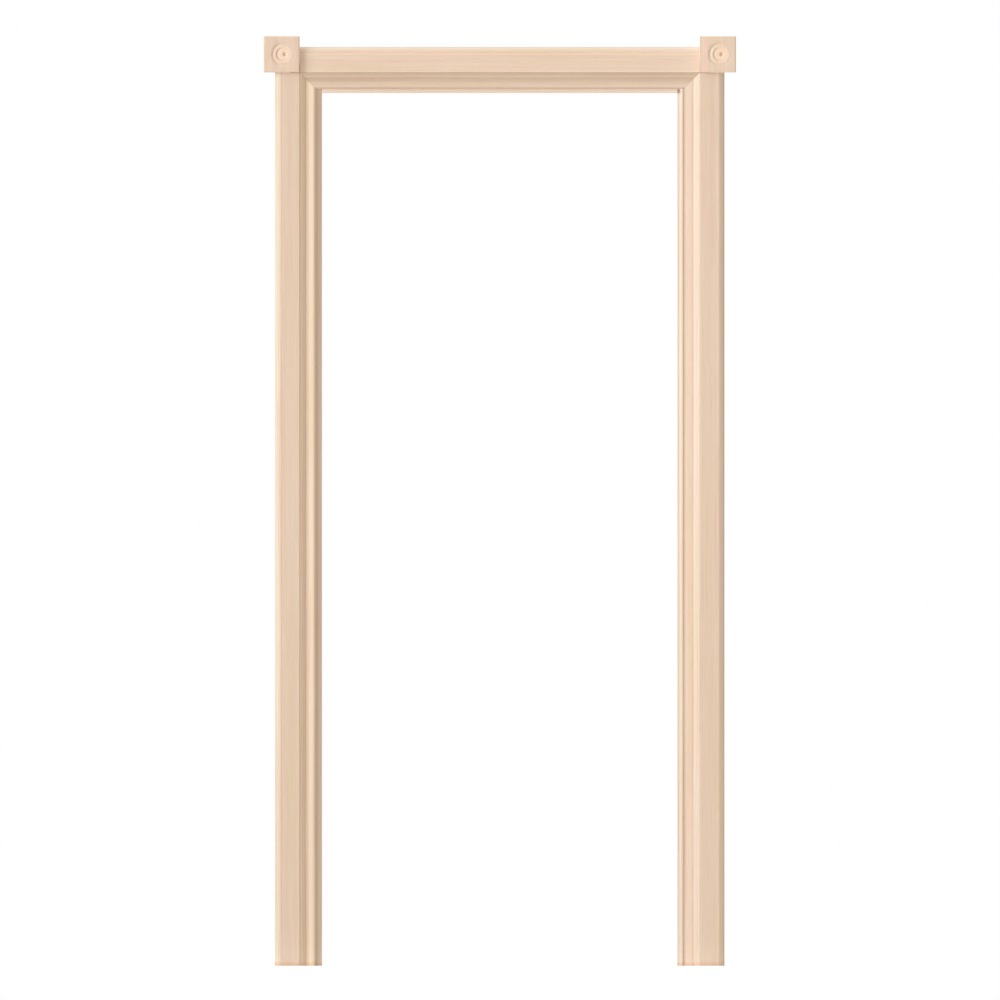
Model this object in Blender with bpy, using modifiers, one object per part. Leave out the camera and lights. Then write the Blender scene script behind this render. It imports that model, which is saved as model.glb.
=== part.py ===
"""Door frame of pale timber with planted casings, a sloped inner moulding and turned corner blocks.

The clear opening is centred on X, the front looks along -Y and the feet stand at Z = 0. Every leg piece
is placed by its distance outward from the edge of the clear opening, and every head piece by its distance
up from the top of it. Heights of mouldings are measured forward from the jamb's front face.
"""

import math

import bmesh
import bpy
from mathutils import Matrix, Vector

# Clearance that two touching pieces keep
FIT = 0.0003
# How far a cutter runs past the timber that it cuts
CUTTER_PAST = 0.020

# Clear opening between the stops
CLEAR_WIDTH = 0.838
CLEAR_HEIGHT = 2.058

# Structural jambs and head
JAMB_THICKNESS = 0.060
JAMB_DEPTH = 0.100
HEAD_JAMB_THICKNESS = 0.060
JAMB_FRONT_Y = -0.035
JAMB_ARRIS = 0.0015

# Pegged mortise and tenon at each top corner
TENON_WIDTH = 0.040
TENON_THICKNESS = 0.030
PEG_RADIUS = 0.005
PEG_SPACING = 0.018
PEG_SIDES = 16

# Planted stops, each with a lip that runs from a crest beside the inner moulding to the opening
LEG_STOP_THICKNESS = 0.015
HEAD_STOP_THICKNESS = 0.0105
LEAF_SEAT_DEPTH = 0.044
LIP_HEIGHT = 0.0095
LIP_CREST_WIDTH = 0.0016
LIP_GROOVE_DEPTH = 0.007
STOP_BACK_ARRIS = 0.001

# Slopes of the lips at the crest and at the opening
LEG_LIP_SLOPES = (math.radians(45), math.radians(12))
HEAD_LIP_SLOPES = (math.radians(6), math.radians(2))

# Inner moulding: a nosed band beside the stop and a slope up to the casing
MOULDING_WIDTH = 0.038
NOSE_WIDTH = 0.007
NOSE_FOOT_HEIGHT = 0.0055
BAND_HEIGHT = 0.0095
BAND_FALL = 0.0008
SLOPE_WIDTH = 0.015
SLOPE_TOP_HEIGHT = 0.0165
SLOPE_BULGE = 0.0007
SLOPE_LAND = 0.001

# Casing: a flat board with a rounded outer edge and a relieved back
CASING_WIDTH = 0.058
HEAD_CASING_WIDTH = 0.060
CASING_THICKNESS = 0.018
CASING_ARRIS = 0.0005
EDGE_ROUND_WIDTH = 0.0142
EDGE_ROUND_RADIUS = 0.019
EDGE_ROUND_SLOPE = math.radians(8)
EDGE_QUIRK_WIDTH = 0.0012
EDGE_QUIRK_DEPTH = 0.0008
RELIEF_WIDTH = 0.028
RELIEF_DEPTH = 0.002
RELIEF_MARGIN = 0.010

# Corner blocks with a turned rosette, which sits a little towards +X in both
BLOCK_SIZE = 0.085
BLOCK_THICKNESS = 0.030
BLOCK_ARRIS = 0.0018
ROSETTE_OFFSET = 0.0047
ROSETTE_RADIUS = 0.029
GROOVE_DEPTH = 0.002
GROOVE_WALL = 0.0012
RING_WIDTH = 0.0093
RING_DROP = 0.0005
BUTTON_RIM_WIDTH = 0.0045
BUTTON_DROP = 0.0004
SWELL = 0.0004
BOWL_RADIUS = 0.005
BOWL_DEPTH = 0.0036
ROSETTE_STEPS = 48

# Finish nails, punched below the face and filled over
NAIL_LENGTH = 0.045
NAIL_RADIUS = 0.0010
NAIL_HEAD_RADIUS = 0.0015
NAIL_HEAD_HEIGHT = 0.0015
NAIL_POINT = 0.003
NAIL_SIDES = 6
FACE_COVER = 0.002
CASING_NAIL_COUNT = 5
CASING_NAIL_MARGIN = 0.150
MOULDING_NAIL_COUNT = 4
MOULDING_NAIL_MARGIN = 0.250
STOP_NAIL_COUNT = 4
STOP_NAIL_MARGIN = 0.350
HEAD_CASING_NAIL_COUNT = 3
HEAD_CASING_NAIL_MARGIN = 0.120
HEAD_MOULDING_NAIL_COUNT = 2
HEAD_MOULDING_NAIL_MARGIN = 0.300
HEAD_STOP_NAIL_COUNT = 2
HEAD_STOP_NAIL_MARGIN = 0.170
BLOCK_NAIL_INSET = 0.006

# Points on a quarter of a curved profile, the angle past which an arris stays sharp, and the weld distance
QUARTER_POINTS = 6
SHARP_ANGLE = math.radians(30)
WELD = 0.000001

# Shape of a bevel whose section is a quarter of a circle
ROUND_BEVEL = 0.5

# Places that follow from the sizes, measured outward from the clear opening
HALF_WIDTH = CLEAR_WIDTH / 2
JAMB_FACE = LEG_STOP_THICKNESS
JAMB_BACK_FACE = JAMB_FACE + JAMB_THICKNESS
CASING_FACE = JAMB_FACE + MOULDING_WIDTH
HEAD_UNDERSIDE = CLEAR_HEIGHT + HEAD_STOP_THICKNESS
HEAD_TOP = HEAD_UNDERSIDE + HEAD_JAMB_THICKNESS
CASING_FOOT_Z = HEAD_UNDERSIDE + MOULDING_WIDTH
JAMB_BACK_Y = JAMB_FRONT_Y + JAMB_DEPTH
TENON_Y = JAMB_FRONT_Y + JAMB_DEPTH / 2
STOP_BACK_HEIGHT = LEAF_SEAT_DEPTH - JAMB_DEPTH
STOP_NAIL_Y = JAMB_FRONT_Y - (STOP_BACK_HEIGHT + LIP_HEIGHT) / 2
BAND_MIDDLE = (NOSE_WIDTH + MOULDING_WIDTH - SLOPE_WIDTH) / 2

WOOD_PALE = (0.78, 0.60, 0.43, 1.0)
WOOD_JAMB = (0.72, 0.55, 0.39, 1.0)
WOOD_PEG = (0.60, 0.42, 0.27, 1.0)
STEEL = (0.45, 0.45, 0.46, 1.0)

SIDES = {"left": -1, "right": 1}

# Turns of a piece's own axes: the head lies along X, and a nail's own +Z points out of its face
ALONG_HEAD = Matrix.Rotation(-math.pi / 2, 4, "Y")
OUT_OF_FRONT = Matrix.Rotation(math.pi / 2, 4, "X")
OUT_OF_HEAD_STOP = Matrix.Rotation(math.pi, 4, "X")


def new_collection(name):
    """Make a collection under the scene."""
    collection = bpy.data.collections.new(name)
    bpy.context.scene.collection.children.link(collection)
    return collection


def make_material(name, colour, roughness, metallic=0.0):
    """Make a Principled material with a colour, a roughness and a metallic value."""
    material = bpy.data.materials.new(name)
    material.use_nodes = True
    shader = material.node_tree.nodes["Principled BSDF"]
    shader.inputs["Base Color"].default_value = colour
    shader.inputs["Roughness"].default_value = roughness
    shader.inputs["Metallic"].default_value = metallic
    material.diffuse_color = colour
    return material


def ellipse_arc(centre, radii, start, end, count=QUARTER_POINTS):
    """Points along an ellipse from one angle to another, both in degrees."""
    points = []
    for step in range(count + 1):
        angle = math.radians(start + (end - start) * step / count)
        points.append((centre[0] + radii[0] * math.cos(angle), centre[1] + radii[1] * math.sin(angle)))
    return points


def bulged_line(start, end, bulge, count=QUARTER_POINTS):
    """Points from start to end on a shallow parabola that stands off the straight line by bulge."""
    along = Vector(end) - Vector(start)
    normal = Vector((-along.y, along.x)).normalized()
    points = []
    for step in range(count + 1):
        share = step / count
        point = Vector(start) + along * share + normal * (bulge * 4 * share * (1 - share))
        points.append((point.x, point.y))
    return points


def mesh_object(name, mesh, collection, material=None):
    """Link a mesh as an object of a collection, with its material."""
    item = bpy.data.objects.new(name, mesh)
    collection.objects.link(item)
    if material is not None:
        mesh.materials.clear()
        mesh.materials.append(material)
    return item


def hide_cutter(item):
    """Show a cutter as wire only."""
    item.display_type = "WIRE"
    item.hide_render = True
    return item


def smooth_curves(mesh):
    """Shade curved faces smooth and keep the arrises sharp."""
    mesh.shade_smooth()
    mesh.set_sharp_from_angle(angle=SHARP_ANGLE)


def close_mesh(mesh):
    """Weld loose caps, point every face outward and shade the curves smooth."""
    shape = bmesh.new()
    shape.from_mesh(mesh)
    bmesh.ops.remove_doubles(shape, verts=shape.verts, dist=WELD)
    bmesh.ops.recalc_face_normals(shape, faces=shape.faces)
    shape.to_mesh(mesh)
    shape.free()
    smooth_curves(mesh)


def extruded_mesh(name, outline, length):
    """A closed mesh of a flat outline in XY, drawn out along +Z from 0 to length."""
    curve = bpy.data.curves.new(name, "CURVE")
    curve.dimensions = "2D"
    curve.fill_mode = "BOTH"
    curve.extrude = length / 2
    spline = curve.splines.new("POLY")
    spline.points.add(len(outline) - 1)
    for point, (x, y) in zip(spline.points, outline):
        point.co = (x, y, 0, 1)
    spline.use_cyclic_u = True
    guide = bpy.data.objects.new(name, curve)
    bpy.context.scene.collection.objects.link(guide)
    bpy.context.view_layer.update()
    depsgraph = bpy.context.evaluated_depsgraph_get()
    mesh = bpy.data.meshes.new_from_object(guide.evaluated_get(depsgraph))
    bpy.data.objects.remove(guide)
    bpy.data.curves.remove(curve)
    mesh.transform(Matrix.Translation((0, 0, length / 2)))
    close_mesh(mesh)
    return mesh


def turned_mesh(name, profile, steps):
    """A closed mesh turned about Z from a profile of (radius, z) points, top to bottom."""
    line = bpy.data.meshes.new(name + "_profile")
    edges = [(index, index + 1) for index in range(len(profile) - 1)]
    line.from_pydata([(radius, 0, z) for radius, z in profile], edges, [])
    guide = bpy.data.objects.new(name + "_profile", line)
    bpy.context.scene.collection.objects.link(guide)
    screw = guide.modifiers.new("turning", "SCREW")
    screw.steps = steps
    screw.render_steps = steps
    screw.use_merge_vertices = True
    screw.merge_threshold = WELD
    bpy.context.view_layer.update()
    depsgraph = bpy.context.evaluated_depsgraph_get()
    mesh = bpy.data.meshes.new_from_object(guide.evaluated_get(depsgraph))
    bpy.data.objects.remove(guide)
    bpy.data.meshes.remove(line)
    close_mesh(mesh)
    return mesh


def box_mesh(name, low, high):
    """A box between two corners, starting as a cube."""
    shape = bmesh.new()
    bmesh.ops.create_cube(shape, size=1.0)
    size = Vector(high) - Vector(low)
    bmesh.ops.scale(shape, vec=size, verts=shape.verts)
    bmesh.ops.translate(shape, vec=(Vector(low) + Vector(high)) / 2, verts=shape.verts)
    mesh = bpy.data.meshes.new(name)
    shape.to_mesh(mesh)
    shape.free()
    return mesh


def side_box(name, side, u_range, y_range, z_range):
    """A box on one side of the frame, from its distances outward from the clear opening."""
    xs = sorted(side * (HALF_WIDTH + u) for u in u_range)
    return box_mesh(name, (xs[0], y_range[0], z_range[0]), (xs[1], y_range[1], z_range[1]))


def copies_mesh(name, source, places):
    """One mesh that holds a copy of the source at each place."""
    shape = bmesh.new()
    for place in places:
        copy = source.copy()
        copy.transform(place)
        shape.from_mesh(copy)
        bpy.data.meshes.remove(copy)
    mesh = bpy.data.meshes.new(name)
    shape.to_mesh(mesh)
    shape.free()
    return mesh


def cut(item, cutter):
    """Take a cutter's shape out of a piece."""
    boolean = item.modifiers.new("cut " + cutter.name, "BOOLEAN")
    boolean.operation = "DIFFERENCE"
    boolean.solver = "EXACT"
    boolean.object = cutter


def ease_arrises(item, width):
    """Ease the arrises of a piece."""
    bevel = item.modifiers.new("arrises", "BEVEL")
    bevel.width = width
    bevel.segments = 2
    bevel.limit_method = "ANGLE"
    bevel.angle_limit = SHARP_ANGLE


def casing_outline(side, width):
    """Section of a casing of some width, from its inner edge outward."""
    round_start = width - EDGE_ROUND_WIDTH
    round_centre = (
        round_start - EDGE_ROUND_RADIUS * math.sin(EDGE_ROUND_SLOPE),
        CASING_THICKNESS - EDGE_ROUND_RADIUS * math.cos(EDGE_ROUND_SLOPE),
    )
    end_slope = math.asin((width - round_centre[0]) / EDGE_ROUND_RADIUS)
    relief_end = width - RELIEF_MARGIN
    relief_start = relief_end - RELIEF_WIDTH
    relief_top = FIT + RELIEF_DEPTH
    arris_centre = (CASING_ARRIS, CASING_THICKNESS - CASING_ARRIS)
    outline = [(0, FIT)]
    outline += ellipse_arc(arris_centre, (CASING_ARRIS, CASING_ARRIS), 180, 90, 3)
    outline.append((round_start - EDGE_QUIRK_WIDTH, CASING_THICKNESS))
    outline.append((round_start - EDGE_QUIRK_WIDTH / 2, CASING_THICKNESS - EDGE_QUIRK_DEPTH))
    outline += ellipse_arc(
        round_centre, (EDGE_ROUND_RADIUS, EDGE_ROUND_RADIUS),
        90 - math.degrees(EDGE_ROUND_SLOPE), 90 - math.degrees(end_slope), 8)
    outline.append((width, FIT))
    outline.append((relief_end, FIT))
    outline.append((relief_end - RELIEF_DEPTH, relief_top))
    outline.append((relief_start + RELIEF_DEPTH, relief_top))
    outline.append((relief_start, FIT))
    return [(side * u, -height) for u, height in outline]


def moulding_outline(side):
    """Section of the inner moulding, from the opening outward: nose, band and slope."""
    crown = (NOSE_WIDTH, BAND_HEIGHT)
    nose_radii = (NOSE_WIDTH, BAND_HEIGHT - NOSE_FOOT_HEIGHT)
    outer_edge = MOULDING_WIDTH - FIT
    slope_foot = (outer_edge - SLOPE_WIDTH, BAND_HEIGHT - BAND_FALL)
    slope_top = (outer_edge - SLOPE_LAND, SLOPE_TOP_HEIGHT)
    outline = [(0, FIT)]
    outline += ellipse_arc((NOSE_WIDTH, NOSE_FOOT_HEIGHT), nose_radii, 180, 90)
    outline += bulged_line(crown, slope_foot, BAND_FALL / 4, 4)[1:]
    outline += bulged_line(slope_foot, slope_top, SLOPE_BULGE, 4)[1:]
    outline.append((outer_edge, SLOPE_TOP_HEIGHT))
    outline.append((outer_edge, FIT))
    return [(side * u, -height) for u, height in outline]


def stop_outline(side, thickness, lip_slopes):
    """Section of a stop, with its lip at the front and an eased arris at the leaf."""
    outer_edge = thickness - FIT
    crest = outer_edge - LIP_CREST_WIDTH
    groove = LIP_HEIGHT - LIP_GROOVE_DEPTH
    first, last = lip_slopes
    lip_radius = crest / (math.sin(first) - math.sin(last))
    lip_centre = (crest - lip_radius * math.sin(first), LIP_HEIGHT + lip_radius * math.cos(first))
    outline = [(outer_edge, STOP_BACK_HEIGHT)]
    outline += ellipse_arc((crest, groove), (LIP_CREST_WIDTH, LIP_GROOVE_DEPTH), 0, 90, 4)
    outline += ellipse_arc(
        lip_centre, (lip_radius, lip_radius), math.degrees(first) - 90, math.degrees(last) - 90)[1:]
    outline.append((0, STOP_BACK_HEIGHT + STOP_BACK_ARRIS))
    outline.append((STOP_BACK_ARRIS, STOP_BACK_HEIGHT))
    return [(side * u, -height) for u, height in outline]


def rosette_profile():
    """Radial profile that the turning tool leaves, from the rim to the centre, as (radius, z) points."""
    groove_foot = (ROSETTE_RADIUS - GROOVE_WALL, -GROOVE_DEPTH)
    ring_crest = (groove_foot[0] - RING_WIDTH, -RING_DROP)
    inner_groove_foot = (ring_crest[0] - GROOVE_WALL, -GROOVE_DEPTH)
    button_rim = (inner_groove_foot[0] - BUTTON_RIM_WIDTH, -BUTTON_DROP)
    profile = [(ROSETTE_RADIUS, 0)]
    profile += bulged_line(groove_foot, ring_crest, -SWELL)
    profile += bulged_line(inner_groove_foot, button_rim, -SWELL, 4)
    profile += ellipse_arc((0, -BUTTON_DROP), (BOWL_RADIUS, BOWL_DEPTH), 0, -90, 5)[:-1]
    profile.append((0, -BUTTON_DROP - BOWL_DEPTH))
    return profile


def nail_profile(growth=0.0):
    """Profile of a nail from its head to its point, grown all round for the bore that it lies in."""
    head = NAIL_HEAD_RADIUS + growth
    shank = NAIL_RADIUS + growth
    return [
        (0, growth),
        (head, growth),
        (head, -NAIL_HEAD_HEIGHT - growth),
        (shank, -NAIL_HEAD_HEIGHT - growth),
        (shank, -(NAIL_LENGTH - NAIL_POINT)),
        (0, -NAIL_LENGTH - growth),
    ]


def spread(count, low, high):
    """Evenly spaced places from low to high, both ends included."""
    return [low + (high - low) * index / (count - 1) for index in range(count)]


class Workshop:
    """The collections, materials and stock shapes that every piece of the frame is made with."""

    def __init__(self):
        """Set up the collections, the materials and the shared nail and bore."""
        self.parts = new_collection("door_frame")
        self.cutters = new_collection("cutters")
        self.face_wood = make_material("face_timber", WOOD_PALE, 0.5)
        self.jamb_wood = make_material("jamb_timber", WOOD_JAMB, 0.6)
        self.peg_wood = make_material("peg_timber", WOOD_PEG, 0.6)
        self.steel = make_material("nail_steel", STEEL, 0.4, 1.0)
        self.nail = turned_mesh("nail", nail_profile(), NAIL_SIDES)
        self.nail.materials.append(self.steel)
        self.bore = turned_mesh("nail_bore", nail_profile(FIT), NAIL_SIDES)
        self.peg = self.round_bar("peg", PEG_RADIUS, JAMB_DEPTH)
        self.peg.materials.append(self.peg_wood)
        self.peg_bore = self.round_bar("peg_bore", PEG_RADIUS + FIT, JAMB_DEPTH + 2 * CUTTER_PAST)

    @staticmethod
    def round_bar(name, radius, length):
        """A bar along Y, starting as a cylinder."""
        shape = bmesh.new()
        bmesh.ops.create_cone(
            shape, cap_ends=True, segments=PEG_SIDES, radius1=radius, radius2=radius, depth=length)
        bmesh.ops.transform(shape, matrix=OUT_OF_FRONT, verts=shape.verts)
        mesh = bpy.data.meshes.new(name)
        shape.to_mesh(mesh)
        shape.free()
        smooth_curves(mesh)
        return mesh

    def piece(self, name, mesh, material):
        """Add a piece of the frame."""
        return mesh_object(name, mesh, self.parts, material)

    def cutter(self, name, mesh):
        """Add a cutter."""
        return hide_cutter(mesh_object(name, mesh, self.cutters))

    def nail_to(self, prefix, places, *boards):
        """Drive a nail at each place and bore every board that it passes through."""
        bores = self.cutter(prefix + "_bores", copies_mesh(prefix + "_bores", self.bore, places))
        for board in boards:
            cut(board, bores)
        for number, place in enumerate(places, start=1):
            nail = mesh_object(f"{prefix}_nail_{number}", self.nail, self.parts)
            nail.matrix_world = place


def front_nail(x, height, z):
    """Place of a nail driven from the front, under a face of that height before the jamb."""
    head_y = JAMB_FRONT_Y - (height - FACE_COVER)
    return Matrix.Translation((x, head_y, z)) @ OUT_OF_FRONT


def mitre_cutter(shop, name, side, outward):
    """A block whose face lies on the mitre, on the outer and lower side of it or on the other."""
    reach = 3 * MOULDING_WIDTH
    shape = box_mesh(name, (-reach / 2,) * 3, (reach / 2,) * 3)
    turn = Matrix.Rotation(-side * math.pi / 4, 4, "Y")
    normal = turn @ Vector((0, 0, 1))
    on_mitre = Vector((
        side * (HALF_WIDTH + JAMB_FACE + MOULDING_WIDTH / 2),
        JAMB_FRONT_Y,
        HEAD_UNDERSIDE + MOULDING_WIDTH / 2,
    ))
    direction = -1 if outward else 1
    centre = on_mitre + normal * direction * (reach / 2 - FIT / 2)
    cutter = shop.cutter(name, shape)
    cutter.matrix_world = Matrix.Translation(centre) @ turn
    return cutter


def build_head_jamb(shop):
    """The structural head over both legs."""
    half = HALF_WIDTH + JAMB_BACK_FACE
    head = shop.piece(
        "head_jamb",
        box_mesh("head_jamb", (-half, JAMB_FRONT_Y, HEAD_UNDERSIDE), (half, JAMB_BACK_Y, HEAD_TOP)),
        shop.jamb_wood)
    ease_arrises(head, JAMB_ARRIS)
    return head


def build_leg_jamb(shop, side_name, side):
    """A structural leg, with its tenon left by cutting away both cheeks and the outer shoulder."""
    name = "jamb_" + side_name
    leg = shop.piece(
        name,
        side_box(name, side, (JAMB_FACE, JAMB_BACK_FACE), (JAMB_FRONT_Y, JAMB_BACK_Y), (0, HEAD_TOP)),
        shop.jamb_wood)
    ease_arrises(leg, JAMB_ARRIS)
    shoulder = HEAD_UNDERSIDE - FIT
    above = (shoulder, HEAD_TOP + CUTTER_PAST)
    wide = (JAMB_FACE - CUTTER_PAST, JAMB_BACK_FACE + CUTTER_PAST)
    front = (JAMB_FRONT_Y - CUTTER_PAST, TENON_Y - TENON_THICKNESS / 2)
    back = (TENON_Y + TENON_THICKNESS / 2, JAMB_BACK_Y + CUTTER_PAST)
    deep = (front[0], back[1])
    outer = (JAMB_FACE + TENON_WIDTH, wide[1])
    for part_name, u_range, y_range in (
            ("front_cheek", wide, front), ("back_cheek", wide, back), ("outer_shoulder", outer, deep)):
        cutter_name = f"{name}_{part_name}"
        cut(leg, shop.cutter(cutter_name, side_box(cutter_name, side, u_range, y_range, above)))
    return leg


def join_corner(shop, side_name, side, leg, head):
    """Mortise the head over the tenon, and peg both."""
    mortise_name = "mortise_" + side_name
    mortise = side_box(
        mortise_name, side,
        (JAMB_FACE - FIT, JAMB_FACE + TENON_WIDTH + FIT),
        (TENON_Y - TENON_THICKNESS / 2 - FIT, TENON_Y + TENON_THICKNESS / 2 + FIT),
        (HEAD_UNDERSIDE - CUTTER_PAST, HEAD_TOP + CUTTER_PAST))
    cut(head, shop.cutter(mortise_name, mortise))
    tenon_middle = JAMB_FACE + TENON_WIDTH / 2
    places = []
    for offset in (-PEG_SPACING / 2, PEG_SPACING / 2):
        x = side * (HALF_WIDTH + tenon_middle + offset)
        places.append(Matrix.Translation((x, TENON_Y, (HEAD_UNDERSIDE + HEAD_TOP) / 2)))
    bores = shop.cutter(
        "peg_bores_" + side_name, copies_mesh("peg_bores_" + side_name, shop.peg_bore, places))
    cut(head, bores)
    cut(leg, bores)
    for number, place in enumerate(places, start=1):
        peg = mesh_object(f"joint_peg_{side_name}_{number}", shop.peg, shop.parts)
        peg.matrix_world = place


def build_leg_stop(shop, side_name, side, leg):
    """A full-height stop on the inner face of a leg."""
    name = "stop_" + side_name
    stop = shop.piece(
        name,
        extruded_mesh(name, stop_outline(side, LEG_STOP_THICKNESS, LEG_LIP_SLOPES), HEAD_UNDERSIDE - FIT),
        shop.face_wood)
    stop.location = (side * HALF_WIDTH, JAMB_FRONT_Y, 0)
    out_of_stop = Matrix.Rotation(-side * math.pi / 2, 4, "Y")
    places = []
    for z in spread(STOP_NAIL_COUNT, STOP_NAIL_MARGIN, CLEAR_HEIGHT - STOP_NAIL_MARGIN):
        x = side * (HALF_WIDTH + FACE_COVER)
        places.append(Matrix.Translation((x, STOP_NAIL_Y, z)) @ out_of_stop)
    shop.nail_to(name, places, stop, leg)


def build_head_stop(shop, head):
    """The head's stop, between the two leg stops."""
    length = CLEAR_WIDTH - 2 * FIT
    mesh = extruded_mesh("stop_head", stop_outline(1, HEAD_STOP_THICKNESS, HEAD_LIP_SLOPES), length)
    stop = shop.piece("stop_head", mesh, shop.face_wood)
    stop.matrix_world = Matrix.Translation((length / 2, JAMB_FRONT_Y, CLEAR_HEIGHT)) @ ALONG_HEAD
    reach = HALF_WIDTH - HEAD_STOP_NAIL_MARGIN
    places = []
    for x in spread(HEAD_STOP_NAIL_COUNT, -reach, reach):
        places.append(Matrix.Translation((x, STOP_NAIL_Y, CLEAR_HEIGHT + FACE_COVER)) @ OUT_OF_HEAD_STOP)
    shop.nail_to("stop_head", places, stop, head)


def build_leg_moulding(shop, side_name, side, leg):
    """The inner moulding of a leg, mitred at its top."""
    name = "inner_moulding_" + side_name
    mesh = extruded_mesh(name, moulding_outline(side), CASING_FOOT_Z - FIT)
    moulding = shop.piece(name, mesh, shop.face_wood)
    moulding.location = (side * (HALF_WIDTH + JAMB_FACE), JAMB_FRONT_Y, 0)
    cut(moulding, mitre_cutter(shop, "leg_mitre_" + side_name, side, outward=False))
    x = side * (HALF_WIDTH + JAMB_FACE + BAND_MIDDLE)
    places = []
    for z in spread(MOULDING_NAIL_COUNT, MOULDING_NAIL_MARGIN, CLEAR_HEIGHT - MOULDING_NAIL_MARGIN):
        places.append(front_nail(x, BAND_HEIGHT - BAND_FALL, z))
    shop.nail_to(name, places, moulding, leg)


def build_head_moulding(shop, head):
    """The inner moulding of the head, mitred at both ends."""
    length = CLEAR_WIDTH + 2 * (CASING_FACE - FIT)
    mesh = extruded_mesh("inner_moulding_head", moulding_outline(1), length)
    moulding = shop.piece("inner_moulding_head", mesh, shop.face_wood)
    moulding.matrix_world = Matrix.Translation((length / 2, JAMB_FRONT_Y, HEAD_UNDERSIDE)) @ ALONG_HEAD
    for side_name, side in SIDES.items():
        cut(moulding, mitre_cutter(shop, "head_mitre_" + side_name, side, outward=True))
    z = HEAD_UNDERSIDE + BAND_MIDDLE
    reach = HALF_WIDTH - HEAD_MOULDING_NAIL_MARGIN
    cover_height = BAND_HEIGHT - BAND_FALL
    places = [front_nail(x, cover_height, z) for x in spread(HEAD_MOULDING_NAIL_COUNT, -reach, reach)]
    shop.nail_to("inner_moulding_head", places, moulding, head)


def build_leg_casing(shop, side_name, side, leg):
    """The flat outer board of a leg, from the floor to the corner block."""
    name = "casing_" + side_name
    mesh = extruded_mesh(name, casing_outline(side, CASING_WIDTH), CASING_FOOT_Z - FIT)
    casing = shop.piece(name, mesh, shop.face_wood)
    casing.location = (side * (HALF_WIDTH + CASING_FACE), JAMB_FRONT_Y, 0)
    x = side * (HALF_WIDTH + (CASING_FACE + JAMB_BACK_FACE) / 2)
    places = []
    for z in spread(CASING_NAIL_COUNT, CASING_NAIL_MARGIN, CASING_FOOT_Z - CASING_NAIL_MARGIN):
        places.append(front_nail(x, CASING_THICKNESS, z))
    shop.nail_to(name, places, casing, leg)


def build_head_casing(shop, head):
    """The flat outer board of the head, between the corner blocks."""
    length = CLEAR_WIDTH + 2 * (CASING_FACE - FIT)
    mesh = extruded_mesh("casing_head", casing_outline(1, HEAD_CASING_WIDTH), length)
    casing = shop.piece("casing_head", mesh, shop.face_wood)
    casing.matrix_world = Matrix.Translation((length / 2, JAMB_FRONT_Y, CASING_FOOT_Z)) @ ALONG_HEAD
    z = (CASING_FOOT_Z + HEAD_TOP) / 2
    reach = HALF_WIDTH + CASING_FACE - HEAD_CASING_NAIL_MARGIN
    places = [front_nail(x, CASING_THICKNESS, z) for x in spread(HEAD_CASING_NAIL_COUNT, -reach, reach)]
    shop.nail_to("casing_head", places, casing, head)


def block_mesh(name):
    """A square block with eased front arrises, its back at Y = 0 and its front towards -Y."""
    half = BLOCK_SIZE / 2
    mesh = box_mesh(name, (-half, -(BLOCK_THICKNESS - FIT), -half), (half, 0, half))
    shape = bmesh.new()
    shape.from_mesh(mesh)
    front = -(BLOCK_THICKNESS - FIT)
    front_edges = [edge for edge in shape.edges if all(abs(v.co.y - front) < FIT / 2 for v in edge.verts)]
    bmesh.ops.bevel(
        shape, geom=front_edges, offset=BLOCK_ARRIS, segments=3, profile=ROUND_BEVEL, affect="EDGES")
    shape.to_mesh(mesh)
    shape.free()
    smooth_curves(mesh)
    return mesh


def build_corner_block(shop, side_name, side, head):
    """A corner block, with its rosette turned into the face."""
    name = "corner_block_" + side_name
    block = shop.piece(name, block_mesh(name), shop.face_wood)
    centre = (
        side * (HALF_WIDTH + CASING_FACE + BLOCK_SIZE / 2),
        JAMB_FRONT_Y - FIT,
        CASING_FOOT_Z + BLOCK_SIZE / 2,
    )
    block.location = centre
    profile = [(0, CUTTER_PAST), (ROSETTE_RADIUS, CUTTER_PAST)] + rosette_profile()
    turning = shop.cutter("rosette_" + side_name, turned_mesh("rosette", profile, ROSETTE_STEPS))
    face = Vector((centre[0] + ROSETTE_OFFSET, JAMB_FRONT_Y - BLOCK_THICKNESS, centre[2]))
    turning.matrix_world = Matrix.Translation(face) @ OUT_OF_FRONT
    cut(block, turning)
    near = (CASING_FACE + BLOCK_NAIL_INSET, HEAD_TOP - BLOCK_NAIL_INSET)
    far = (JAMB_BACK_FACE - BLOCK_NAIL_INSET, CASING_FOOT_Z + BLOCK_NAIL_INSET)
    places = [front_nail(side * (HALF_WIDTH + u), BLOCK_THICKNESS, z) for u, z in (near, far)]
    shop.nail_to(name, places, block, head)


def build_door_frame():
    """Clear the scene and build the whole frame."""
    for item in list(bpy.data.objects):
        bpy.data.objects.remove(item)
    shop = Workshop()
    head = build_head_jamb(shop)
    for side_name, side in SIDES.items():
        leg = build_leg_jamb(shop, side_name, side)
        join_corner(shop, side_name, side, leg, head)
        build_leg_stop(shop, side_name, side, leg)
        build_leg_moulding(shop, side_name, side, leg)
        build_leg_casing(shop, side_name, side, leg)
        build_corner_block(shop, side_name, side, head)
    build_head_stop(shop, head)
    build_head_moulding(shop, head)
    build_head_casing(shop, head)


build_door_frame()
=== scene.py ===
"""Looks of a pale timber door frame: casings, a sloped inner moulding, rosette blocks, stops and jambs.

The frame stands on Z = 0 with its front towards -Y. A section is drawn in metres as (u, height) points. On a
leg, u is the distance from the frame's middle. On the head, u is the distance above the floor. On both,
height is the distance forward, towards -Y.
"""

import logging
import math
from dataclasses import dataclass, replace
from enum import Enum
from functools import partial
from typing import Callable, Optional, Sequence, Union

import bmesh
import bpy
from mathutils import Euler, Matrix, Vector


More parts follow.
